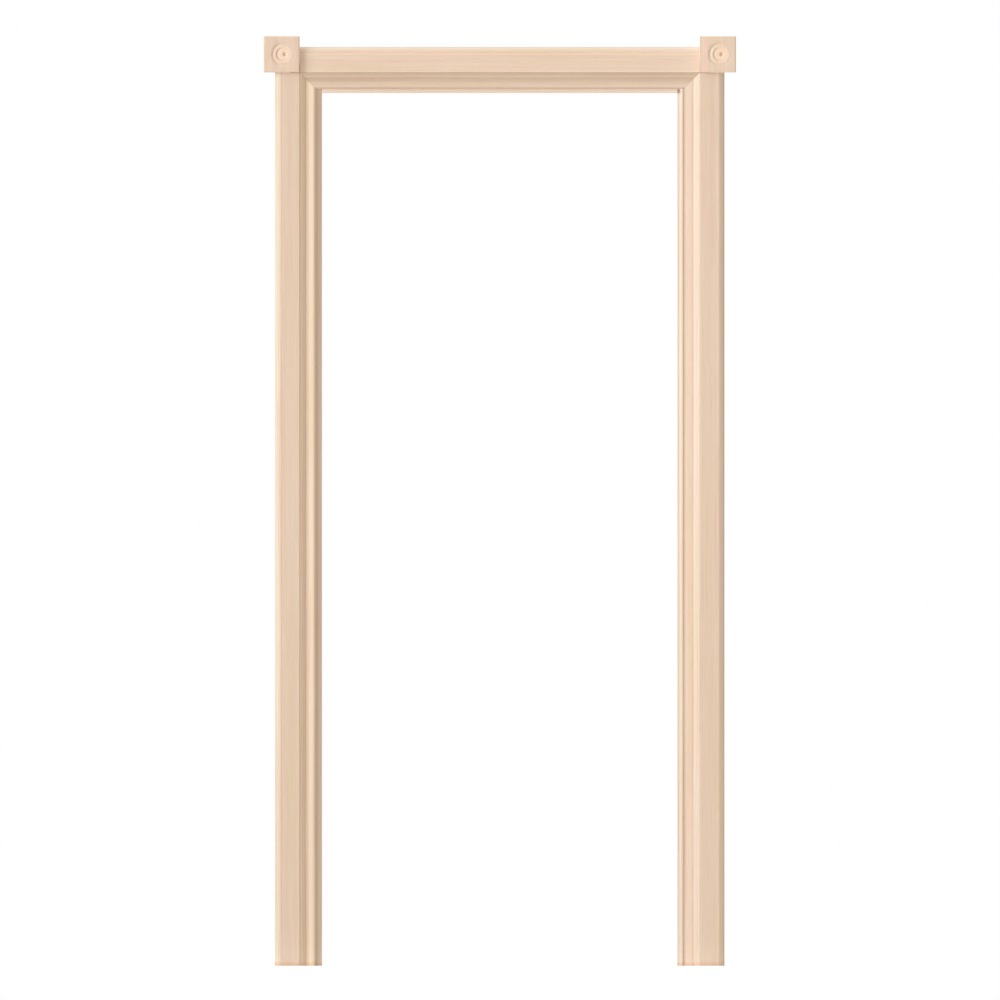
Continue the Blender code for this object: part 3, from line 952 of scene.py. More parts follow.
class FootTint(Group):
    """Mask of the warmer, darker tint towards the feet."""

    NAME = "foot_stain"
    INPUTS = {"Vector": SocketKind.VECTOR}
    OUTPUTS = {"Mask": SocketKind.VALUE}

    # Height that the tint reaches up to, and the shares of it where it ends and where it is full
    TINT_REACH = Noise((160, 160, 8))
    LOWEST = 0.002
    RISE = 0.012
    FADE = (1.6, 0.2)

    def fill(self) -> None:
        """Add the nodes that make the effect."""
        sheet, place = self.sheet, self.given["Vector"]
        tint_height = sheet.line(self.TINT_REACH.value(sheet, place), self.RISE, self.LOWEST)
        self.put("Mask", sheet.ramp(sheet.math("DIVIDE", sheet.part(place, "Z"), tint_height), *self.FADE))


class TimberGroups:
    """The shader groups that the timber materials share, each built once."""

    def __init__(self) -> None:
        """Build the groups."""
        self.timber = SolidTimber()
        self.end_grain = EndGrain()
        self.knife_marks = KnifeMarks()
        self.turning_marks = TurningMarks()
        self.strip_mask = StripMask()
        self.arris_wear = ArrisWearAndHighlight()
        self.foot_stain = FootTint()


@dataclass(frozen=True)
class BoardCut:
    """Where in its log a piece was cut from.

    Attributes:
        node: Name of the piece's solid.
        run: Member that the piece belongs to.
        grain: Direction of its fibres.
        pith: Place of the log's pith from the piece's middle, across the fibres.
        seed: Number that no other piece has.
    """

    node: str
    run: Run
    grain: Grain
    pith: Point
    seed: int

    # Length of log that each piece has to itself
    LOG_LENGTH = 7.3
    # Most that the fibres lean, in degrees, and the steps that lean each piece its own way
    LEAN = 0.35
    LEAN_STEPS = (2.1, 1.3)

    def room(self) -> Extent:
        """Room that the piece takes."""
        return Extent.of(self.node, self.run)

    def lean(self) -> Matrix:
        """Lean the fibres a little out of the piece's own direction.

        Returns:
            The turn that leans them.
        """
        about_x = math.radians(self.LEAN * math.sin(self.LEAN_STEPS[0] * self.seed))
        about_y = math.radians(self.LEAN * math.cos(self.LEAN_STEPS[1] * self.seed))
        return Euler((about_x, about_y, 0)).to_matrix()

    def log_place(self, sheet: Sheet) -> bpy.types.NodeSocket:
        """Add the nodes that turn the frame's space into the log's.

        Args:
            sheet: The material's nodes.

        Returns:
            The point in the log, with the pith on Z.
        """
        low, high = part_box(self.node)
        turn = self.lean() @ self.grain.turn()
        origin = Vector((self.pith[0], self.pith[1], -self.seed * self.LOG_LENGTH))
        node = sheet.add("ShaderNodeMapping", {
            "Vector": sheet.frame_place(),
            "Location": -(turn @ ((low + high) / 2)) - origin,
            "Rotation": turn.to_euler()})
        return node.outputs["Vector"]


@dataclass(frozen=True)
class TimberTone:
    """Colours and figure of a kind of timber.

    Attributes:
        pale: Early wood between the rings.
        deep: Late wood and pores.
        rosy: Warm streaks.
        honey: Yellow streaks.
        worn_and_lit: Colour of the arrises, brightened by wear and as a painted highlight.
        ring_width: Growth in a year.
        ring_strength: How far the rings show.
        streak_strength: How far the streaks show.
        fibre_strength: How far the fibres and pores show.
        stain: Tint, warmer and darker, towards the feet.
    """

    pale: Colour
    deep: Colour
    rosy: Colour
    honey: Colour
    worn_and_lit: Colour
    ring_width: float
    ring_strength: float
    streak_strength: float
    fibre_strength: float
    stain: Colour = srgb(235, 200, 165)

    def lifted(self, share: float) -> "TimberTone":
        """The same timber from a paler or darker board, or darkened as painted shade.

        Args:
            share: What its colours are multiplied by.

        Returns:
            The other board's tone.
        """
        names = ("pale", "deep", "rosy", "honey", "worn_and_lit")
        return replace(self, **{
            name: tuple(channel * share for channel in getattr(self, name)[:3]) + (1.0,) for name in names})


@dataclass(frozen=True)
class Rosette:
    """Turned centre of a block, paler inside, with tool marks and painted shade in the left of its inner
    groove.

    Attributes:
        centre: Its centre in the frame.
        radius: Radius of the turned area.
    """

    centre: Vector
    radius: float

    # Tint of the turned area's paler inside
    INNER_PALING_TINT = (1.13, 1.125, 1.12, 1.0)
    # Painted shade in the inner groove, for the shade that the lamps from the left leave there
    GROOVE_SHADE_TINT = (0.70, 0.67, 0.64, 1.0)


@dataclass(frozen=True)
class PaintedShadingStrip:
    """Strip along a board that is painted paler, darker, warmer or cooler than the rest of its face: painted
    light where the lamps catch it, painted shade where shade falls.

    Attributes:
        edge: Edge that its place is measured from.
        start: Distance from that edge to its nearer side.
        end: Distance from that edge to its farther side.
        softness: Width over which each side fades.
        tint: What the timber's red, green and blue are multiplied by.
    """

    edge: Edge
    start: float
    end: float
    softness: float
    tint: Triple

    def span(self, room: Extent) -> Point:
        """Find the strip on a board.

        Args:
            room: Room that the board takes.

        Returns:
            The strip's smallest and largest u.
        """
        if self.edge is Edge.INNER:
            return (room.inner + self.start, room.inner + self.end)
        return (room.outer - self.end, room.outer - self.start)


Strips = Sequence[PaintedShadingStrip]


@dataclass(frozen=True)
class TimberFinish:
    """Planed timber, unfinished.

    Attributes:
        slot: Material slot of the record that it belongs to.
        tone: Its colours and figure.
        specular: Level of its gloss.
        knife_pitch: Distance between the planer's ripples.
        knife_depth: Depth of the ripples, as a share of the relief.
        relief: Depth of the fibres' relief.
    """

    slot: str
    tone: TimberTone
    specular: float
    knife_pitch: float
    knife_depth: float
    relief: float

    WEAR_AND_HIGHLIGHT_SHARE = 0.35
    FOOT_TINT_SHARE = 0.45
    TURNING_DEPTH = 0.12

    def material(
            self,
            groups: TimberGroups,
            cut: BoardCut,
            rosette: Optional[Rosette],
            strips: Strips) -> bpy.types.Material:
        """Make the material of one piece.

        Args:
            groups: The shared shader groups.
            cut: Where in its log the piece was cut from.
            rosette: Its turned centre, where it has one.
            strips: Its strips of painted light and shade.

        Returns:
            The material.
        """
        material = bpy.data.materials.new(cut.node + "_timber")
        material.use_nodes = True
        sheet = Sheet(material.node_tree)
        place = sheet.frame_place()
        log_place = cut.log_place(sheet)
        tone = self.tone
        end = groups.end_grain.use(sheet, Fibres=cut.grain.value)["Mask"]
        timber = groups.timber.use(
            sheet, Vector=log_place, Ring_Width=tone.ring_width, Ring_Strength=tone.ring_strength,
            Streak_Strength=tone.streak_strength, Fibre_Strength=tone.fibre_strength, End_Grain=end,
            Pale=tone.pale, Deep=tone.deep, Rosy=tone.rosy, Honey=tone.honey)
        # Arrises brightened by wear and as a painted highlight
        worn_and_lit = sheet.product(groups.arris_wear.use(sheet, Vector=place)["Mask"], self.WEAR_AND_HIGHLIGHT_SHARE)
        # Warmer and darker towards the feet
        foot_tinted = sheet.product(groups.foot_stain.use(sheet, Vector=place)["Mask"], self.FOOT_TINT_SHARE)
        colour = sheet.blend(worn_and_lit, timber["Color"], tone.worn_and_lit)
        colour = sheet.blend(foot_tinted, colour, tone.stain, mode="MULTIPLY")
        knives = groups.knife_marks.use(
            sheet, Vector=log_place, Pitch=self.knife_pitch, Depth=self.knife_depth)["Height"]
        height = sheet.math("ADD", timber["Height"], knives)
        if rosette is not None:
            turned = groups.turning_marks.use(
                sheet, Vector=place, Centre=rosette.centre, Radius=rosette.radius)
            height = sheet.line(turned["Height"], self.TURNING_DEPTH, height)
            # The turned area's paler inside
            colour = sheet.blend(turned["Mask"], colour, rosette.INNER_PALING_TINT, mode="MULTIPLY")
            # Painted shade in the left of the rosette's inner groove
            colour = sheet.blend(turned["Groove Shade"], colour, rosette.GROOVE_SHADE_TINT, mode="MULTIPLY")
        room = cut.room()
        # Strips of painted light and shade: paler where the lamps catch the board, darker in creases and
        # where shade falls
        for strip in strips:
            nearer, farther = strip.span(room)
            mask = groups.strip_mask.use(
                sheet, Vector=place, Across=cut.run.across(), Start=nearer, End=farther,
                Softness=strip.softness)["Mask"]
            colour = sheet.blend(mask, colour, strip.tint + (1.0,), mode="MULTIPLY")
        bump = sheet.add("ShaderNodeBump", {"Distance": self.relief, "Height": height})
        shader = material.node_tree.nodes["Principled BSDF"].inputs
        sheet.feed(shader["Base Color"], colour)
        sheet.feed(shader["Roughness"], timber["Roughness"])
        sheet.feed(shader["Normal"], bump.outputs["Normal"])
        sheet.feed(shader["Specular IOR Level"], self.specular)
        return material


@dataclass(frozen=True)
class SteelFinish:
    """Drawn steel wire of the nails, with a satin skin.

    Attributes:
        slot: Material slot of the record that it belongs to.
        bright: Colour where the die polished it.
        dull: Colour of the scale between.
        smoothest: Roughness of the smoothest wire.
        line_roughness: What the die's lines add to it.
        relief: Depth of those lines.
    """

    slot: str
    bright: Colour
    dull: Colour
    smoothest: float = 0.22
    line_roughness: float = 0.35
    relief: float = 0.00002

    DIE_LINES = Noise((4000, 90, 4000), detail=3.0)
    SCALE = Noise((700, 700, 700), 0.45, 0.70)

    def material(self) -> bpy.types.Material:
        """Make the material that all nails share.

        Returns:
            The material.
        """
        material = bpy.data.materials.new(self.slot)
        material.use_nodes = True
        sheet = Sheet(material.node_tree)
        place = sheet.frame_place()
        lines = self.DIE_LINES.value(sheet, place)
        colour = sheet.blend(self.SCALE.mask(sheet, place), self.bright, self.dull)
        bump = sheet.add("ShaderNodeBump", {"Distance": self.relief, "Height": lines})
        shader = material.node_tree.nodes["Principled BSDF"].inputs
        sheet.feed(shader["Base Color"], colour)
        sheet.feed(shader["Roughness"], sheet.line(lines, self.line_roughness, self.smoothest))
        sheet.feed(shader["Normal"], bump.outputs["Normal"])
        sheet.feed(shader["Metallic"], 1.0)
        return material


FACE_TONE = TimberTone(
    pale=srgb(239, 213, 190), deep=srgb(210, 172, 141), rosy=srgb(237, 205, 184), honey=srgb(235, 210, 180),
    worn_and_lit=srgb(249, 227, 204), ring_width=0.0026, ring_strength=0.28, streak_strength=0.85,
    fibre_strength=0.8)
JAMB_TONE = TimberTone(
    pale=srgb(226, 199, 170), deep=srgb(190, 148, 110), rosy=srgb(222, 188, 162), honey=srgb(221, 194, 156),
    worn_and_lit=srgb(236, 213, 187), ring_width=0.0034, ring_strength=0.45, streak_strength=0.8,
    fibre_strength=1.0)
PEG_TONE = TimberTone(
    pale=srgb(205, 172, 137), deep=srgb(150, 108, 70), rosy=srgb(196, 156, 122), honey=srgb(198, 166, 122),
    worn_and_lit=srgb(214, 184, 150), ring_width=0.0012, ring_strength=0.55, streak_strength=0.5,
    fibre_strength=1.0)

FACE_FINISH = TimberFinish(
    "face_timber", FACE_TONE, specular=0.35, knife_pitch=0.0016, knife_depth=0.30, relief=0.00006)
JAMB_FINISH = TimberFinish(
    "jamb_timber", JAMB_TONE, specular=0.30, knife_pitch=0.0024, knife_depth=0.80, relief=0.00010)
PEG_FINISH = TimberFinish(
    "peg_timber", PEG_TONE, specular=0.35, knife_pitch=0.0016, knife_depth=0.00, relief=0.00008)
NAIL_FINISH = SteelFinish("nail_steel", bright=srgb(186, 186, 188), dull=srgb(120, 118, 116))

# Boards that came out paler or darker than the rest, and the head moulding, darkened as painted shade for the
# shade that the casing above casts on its band
HEAD_CASING_FINISH = replace(FACE_FINISH, tone=FACE_TONE.lifted(1.045))
HEAD_MOULDING_SHADED_FINISH = replace(FACE_FINISH, tone=FACE_TONE.lifted(0.945))
BLOCK_FINISH = replace(FACE_FINISH, tone=FACE_TONE.lifted(1.04))
LEG_STOP_FINISH = replace(FACE_FINISH, tone=FACE_TONE.lifted(0.96))

# Start of a strip that takes in the edge it is measured from
PAST_EDGE = -0.010
# Tints of painted shade: soft, in creases and along edges in shade; deeper, beside a groove; deepest and
# warmest, in the darkest creases and edges
SOFT_PAINTED_SHADE = (0.88, 0.86, 0.84)
GROOVE_PAINTED_SHADE = (0.78, 0.77, 0.75)
DEEP_PAINTED_SHADE = (0.75, 0.74, 0.68)

# Strips of painted light and shade on each kind of board, by member. On the casings: painted light along the
# inner arrises and on parts of the outer rounds, and a shift of hue on the left casing's outer round
CASING_STRIPS = {
    Run.LEFT: (
        PaintedShadingStrip(Edge.INNER, PAST_EDGE, 0.0016, 0.0012, even(1.10)),
        PaintedShadingStrip(Edge.OUTER, PAST_EDGE, 0.0110, 0.0040, (0.925, 0.995, 0.985))),
    Run.RIGHT: (
        PaintedShadingStrip(Edge.INNER, PAST_EDGE, 0.0020, 0.0020, (1.08, 1.09, 1.09)),
        PaintedShadingStrip(Edge.OUTER, 0.0127, 0.0175, 0.0020, (1.08, 1.10, 1.10)),
        PaintedShadingStrip(Edge.OUTER, 0.0035, 0.0085, 0.0030, (1.08, 1.09, 1.07))),
    Run.HEAD: (
        PaintedShadingStrip(Edge.INNER, PAST_EDGE, 0.0020, 0.0015, even(1.10)),
        PaintedShadingStrip(Edge.OUTER, PAST_EDGE, 0.0060, 0.0030, (1.05, 1.13, 1.20)),
        PaintedShadingStrip(Edge.OUTER, 0.0120, 0.0195, 0.0020, (1.05, 1.055, 1.055))),
}
# On the mouldings: painted highlight on the band's crown and on the slope that faces the lamps, painted shade
# in the creases beside the stop and under the casing
MOULDING_STRIPS = {
    Run.LEFT: (
        PaintedShadingStrip(Edge.INNER, 0.0045, 0.0168, 0.0090, (1.21, 1.25, 1.21)),
        PaintedShadingStrip(Edge.INNER, PAST_EDGE, 0.0008, 0.0014, SOFT_PAINTED_SHADE),
        PaintedShadingStrip(Edge.OUTER, PAST_EDGE, 0.0150, 0.0020, (1.0, 1.0, 0.96)),
        PaintedShadingStrip(Edge.OUTER, PAST_EDGE, 0.0070, 0.0040, even(1.06))),
    Run.RIGHT: (
        PaintedShadingStrip(Edge.INNER, 0.0055, 0.0215, 0.0040, (1.15, 1.155, 1.16)),
        PaintedShadingStrip(Edge.INNER, 0.0, 0.0038, 0.0025, GROOVE_PAINTED_SHADE),
        PaintedShadingStrip(Edge.OUTER, 0.0145, 0.0185, 0.0020, even(0.94)),
        PaintedShadingStrip(Edge.OUTER, PAST_EDGE, 0.0030, 0.0020, (1.13, 1.17, 1.16)),
        PaintedShadingStrip(Edge.OUTER, PAST_EDGE, 0.0150, 0.0015, (0.965, 0.990, 1.0))),
    Run.HEAD: (
        PaintedShadingStrip(Edge.INNER, 0.0020, 0.0080, 0.0035, even(1.08)),
        PaintedShadingStrip(Edge.INNER, PAST_EDGE, 0.0016, 0.0016, SOFT_PAINTED_SHADE),
        PaintedShadingStrip(Edge.OUTER, 0.0125, 0.0220, 0.0070, (0.91, 0.90, 0.88)),
        PaintedShadingStrip(Edge.OUTER, 0.0012, 0.0060, 0.0020, SOFT_PAINTED_SHADE),
        PaintedShadingStrip(Edge.OUTER, PAST_EDGE, 0.0260, 0.0100, (1.0, 1.0, 0.965))),
}
# On the stops: painted shade in the groove beside the crest, painted light on the lip that faces the lamps
STOP_STRIPS = {
    Run.LEFT: (PaintedShadingStrip(Edge.OUTER, PAST_EDGE, 0.0040, 0.0040, DEEP_PAINTED_SHADE),),
    Run.RIGHT: (
        PaintedShadingStrip(Edge.OUTER, 0.0015, 0.0045, 0.0012, SOFT_PAINTED_SHADE),
        PaintedShadingStrip(Edge.OUTER, PAST_EDGE, 0.0015, 0.0012, (1.13, 1.12, 1.12)),
        PaintedShadingStrip(Edge.INNER, 0.0045, 0.0090, 0.0030, (1.06, 1.11, 1.13)),
        PaintedShadingStrip(Edge.INNER, PAST_EDGE, 0.0045, 0.0030, (0.94, 0.97, 1.0))),
    Run.HEAD: (
        PaintedShadingStrip(Edge.OUTER, PAST_EDGE, 0.0015, 0.0010, (0.96, 0.95, 0.93)),
        PaintedShadingStrip(Edge.INNER, PAST_EDGE, 0.0065, 0.0030, (1.08, 1.10, 1.10))),
}
# On the blocks: painted shade along their shaded edges, painted light along the lit edge and on a band of the
# right block's face
BLOCK_STRIPS = {
    Run.LEFT: (
        PaintedShadingStrip(Edge.INNER, PAST_EDGE, 0.0020, 0.0015, SOFT_PAINTED_SHADE),
        PaintedShadingStrip(Edge.OUTER, PAST_EDGE, 0.0012, 0.0010, (1.04, 1.07, 1.08))),
    Run.RIGHT: (
        PaintedShadingStrip(Edge.OUTER, PAST_EDGE, 0.0021, 0.0012, DEEP_PAINTED_SHADE),
        PaintedShadingStrip(Edge.INNER, 0.0070, 0.0185, 0.0040, (1.10, 1.09, 1.10)),
        PaintedShadingStrip(Edge.INNER, PAST_EDGE, 0.0025, 0.0010, SOFT_PAINTED_SHADE)),
}


class Joinery:
    """Adds finished pieces to the frame and gives each its own timber."""

    def __init__(self) -> None:
        """Build the shared groups and start the count of boards."""
        self.groups = TimberGroups()
        self.count = 0

    def add(
            self,
            mesh: bpy.types.Mesh,
            node: str,
            run: Run,
            finish: TimberFinish,
            pith: Point,
            grain: Optional[Grain] = None,
            rosette: Optional[Rosette] = None,
            strips: Strips = ()) -> None:
        """Add a piece in the place of a solid.

        Args:
            mesh: Its mesh.
            node: The solid that it stands for.
            run: Member that it belongs to.
            finish: Its finish.
            pith: Place of its log's pith from its middle, across the fibres.
            grain: Direction of its fibres, or None where they run along the member.
            rosette: Its turned centre, where it has one.
            strips: Its strips of painted light and shade.
        """
        self.count += 1
        cut = BoardCut(node, run, grain or run.grain(), pith, self.count)
        mesh.materials.clear()
        mesh.materials.append(finish.material(self.groups, cut, rosette, strips))
        piece = linked(node + "_piece", mesh)
        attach(piece, BODY)
        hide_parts(node)
        LOG.info("%s: %d faces, %s", piece.name, len(mesh.polygons), finish.slot)


@dataclass
class Board:
    """Board that runs the length of one member, with the same section all along.

    Attributes:
        run: Member that it belongs to.
        pith: Place of its log's pith from its middle.
    """

    run: Run
    pith: Point

    # First part of its solids' names, its finishes and its strips of painted light and shade, which each kind
    # of board sets
    KIND = "board"
    LEG_FINISH = FACE_FINISH
    HEAD_FINISH = FACE_FINISH
    STRIPS = {}

    def outline(self, room: Extent) -> list[Point]:
        """Draw the board's section.

        Args:
            room: Room that the board takes.

        Returns:
            The section's points.
        """
        raise NotImplementedError

    def start(self, room: Extent, u: float) -> float:
        """Lowest place along its length, at a u of its section."""
        return room.start

    def end(self, room: Extent, u: float) -> float:
        """Highest place along its length, at a u of its section."""
        return room.end

    def build(self, joinery: Joinery) -> None:
        """Build the board and dress it.

        Args:
            joinery: What dresses it.
        """
        node = f"{self.KIND}_{self.run.value}"
        room = Extent.of(node, self.run)
        mesh = swept_mesh(
            node, self.outline(room), self.run, partial(self.start, room), partial(self.end, room))
        finish = self.HEAD_FINISH if self.run is Run.HEAD else self.LEG_FINISH
        joinery.add(mesh, node, self.run, finish, self.pith, strips=self.STRIPS[self.run])


@dataclass
class Casing(Board):
    """Flat outer board with a rounded outer edge and a relieved back.

    Attributes:
        arris: Radius of the arris beside the inner moulding.
        round_width: Width of the rounded outer edge.
        round_radius: Radius of the rounded outer edge.
        round_tilt: Angle that the round starts at, in degrees from the face.
        quirk_width: Width of the fine groove beside it.
        quirk_depth: Depth of that groove.
        relief_width: Width of the hollow in the back.
        relief_depth: Depth of that hollow.
        relief_margin: Timber between the hollow and the outer edge.
        back_ease: Radius of the arrises at the back.
    """

    arris: float = 0.0005
    round_width: float = 0.0142
    round_radius: float = 0.0190
    round_tilt: float = 8.0
    quirk_width: float = 0.0012
    quirk_depth: float = 0.0008
    relief_width: float = 0.028
    relief_depth: float = 0.002
    relief_margin: float = 0.010
    back_ease: float = 0.0004

    KIND = "casing"
    HEAD_FINISH = HEAD_CASING_FINISH
    STRIPS = CASING_STRIPS

    def outline(self, room: Extent) -> list[Point]:
        """Draw the section, from its inner edge outward.

        Args:
            room: Room that the board takes.

        Returns:
            The section's points.
        """
        round_start = room.outer - self.round_width
        tilt = math.radians(self.round_tilt)
        centre = (
            round_start - self.round_radius * math.sin(tilt),
            room.front - self.round_radius * math.cos(tilt))
        end_tilt = math.degrees(math.asin((room.outer - centre[0]) / self.round_radius))
        relief_end = room.outer - self.relief_margin
        relief_start = relief_end - self.relief_width
        relief_top = room.back + self.relief_depth
        knots = [
            Knot(room.inner, room.back, self.back_ease),
            Knot(room.inner, room.front, self.arris),
            Knot(round_start - self.quirk_width, room.front),
            Knot(round_start - self.quirk_width / 2, room.front - self.quirk_depth),
        ]
        knots += arc(centre, (self.round_radius, self.round_radius), 90 - self.round_tilt, 90 - end_tilt)
        knots += [
            Knot(room.outer, room.back, self.back_ease),
            Knot(relief_end, room.back, self.back_ease),
            Knot(relief_end - self.relief_depth, relief_top),
            Knot(relief_start + self.relief_depth, relief_top),
            Knot(relief_start, room.back, self.back_ease),
        ]
        return eased_outline(knots)


@dataclass
class InnerMoulding(Board):
    """Moulding beside the opening, with a nosed band and a slope up to the casing.

    Attributes:
        edge_height: Height of its inner edge over the jamb.
        nose_width: Width of the rounded nose beside the stop.
        band_height: Height of the band's crown over the jamb.
        band_fall: How far the band falls from its crown to the slope's foot.
        band_bulge: How far the band swells from a flat.
        slope_width: Width of the slope with its land.
        slope_bulge: How far the slope swells from a flat.
        slope_land: Flat along the top of the slope.
        land_ease: Radius of that flat's arrises.
    """

    edge_height: float = 0.0055
    nose_width: float = 0.0070
    band_height: float = 0.0095
    band_fall: float = 0.0008
    band_bulge: float = 0.0002
    slope_width: float = 0.0150
    slope_bulge: float = 0.0007
    slope_land: float = 0.0010
    land_ease: float = 0.0003

    KIND = "inner_moulding"
    # Darkened as painted shade for the shade under the head casing
    HEAD_FINISH = HEAD_MOULDING_SHADED_FINISH
    STRIPS = MOULDING_STRIPS

    def outline(self, room: Extent) -> list[Point]:
        """Draw the section, from the opening outward.

        Args:
            room: Room that the moulding takes.

        Returns:
            The section's points.
        """
        seat = room.back - FIT
        crown = (room.inner + self.nose_width, seat + self.band_height)
        nose = arc(
            (crown[0], seat + self.edge_height),
            (self.nose_width, self.band_height - self.edge_height), start=180, end=90)
        slope_foot = (room.outer - self.slope_width, crown[1] - self.band_fall)
        slope_top = (room.outer - self.slope_land, room.front)
        band = bulged(crown, slope_foot, self.band_bulge)
        slope = bulged(slope_foot, slope_top, self.slope_bulge)
        knots = [Knot(room.inner, room.back)] + nose + band[1:] + slope[1:-1]
        knots += [
            Knot(slope_top[0], slope_top[1], self.land_ease),
            Knot(room.outer, room.front, self.land_ease),
            Knot(room.outer, room.back),
        ]
        return eased_outline(knots)

    def start(self, room: Extent, u: float) -> float:
        """Foot of a leg, or the left mitre of the head."""
        return room.start + (room.outer - u) if self.run is Run.HEAD else room.start

    def end(self, room: Extent, u: float) -> float:
        """Mitre at the top of a leg or the right end of the head."""
        return room.end - (room.outer - u)


@dataclass
class Stop(Board):
    """Planted stop whose front edge shows as the lip along the opening.

    Attributes:
        lip_tilts: Slopes of the lip, at its crest and at the opening, in degrees.
        crest_width: Distance of the lip's crest from the moulding.
        crest_height: Height of the crest over the groove beside it.
        crest_ease: Radius of the crest.
        leaf_arris: Radius of the arris that the leaf closes against.
        edge_ease: Radius of the arris between the lip and the opening.
        hidden_ease: Radius of the arris against the jamb.
    """

    lip_tilts: Point = (45.0, 12.0)
    crest_width: float = 0.0016
    crest_height: float = 0.0045
    crest_ease: float = 0.0004
    leaf_arris: float = 0.001
    edge_ease: float = 0.0010
    hidden_ease: float = 0.0003

    KIND = "stop"
    LEG_FINISH = LEG_STOP_FINISH
    STRIPS = STOP_STRIPS

    # The groove's wall is an arc from its foot up to just short of the crest, in degrees
    WALL_START = 270
    WALL_END = 192
    WALL_STEPS = 8
    # Points left out of the lip's face, to make room for the crest's ease and for the edge's
    CREST_ROOM = 2
    EDGE_ROOM = 3

    def lip(self, room: Extent) -> list[Knot]:
        """Draw the lip, from the groove to the opening.

        Args:
            room: Room that the stop takes.

        Returns:
            Its knots.
        """
        crest_u = room.outer - self.crest_width
        first, last = (math.radians(tilt) for tilt in self.lip_tilts)
        radius = (crest_u - room.inner) / (math.sin(first) - math.sin(last))
        centre = (crest_u - radius * math.sin(first), room.front + radius * math.cos(first))
        wall = arc(
            (room.outer, room.front), (self.crest_width, self.crest_height),
            self.WALL_START, self.WALL_END, self.WALL_STEPS)
        face = arc(centre, (radius, radius), self.lip_tilts[0] - 90, self.lip_tilts[1] - 90)
        crest = Knot(crest_u, room.front, self.crest_ease)
        edge = Knot(face[-1].u, face[-1].height, self.edge_ease)
        return wall + [crest] + face[self.CREST_ROOM:-self.EDGE_ROOM] + [edge]

    def outline(self, room: Extent) -> list[Point]:
        """Draw the section, from the jamb over the lip to the leaf's side.

        Args:
            room: Room that the stop takes.

        Returns:
            The section's points.
        """
        hidden = Knot(room.outer, room.back, self.hidden_ease)
        leaf = Knot(room.inner, room.back, self.leaf_arris)
        return eased_outline([hidden] + self.lip(room) + [leaf])


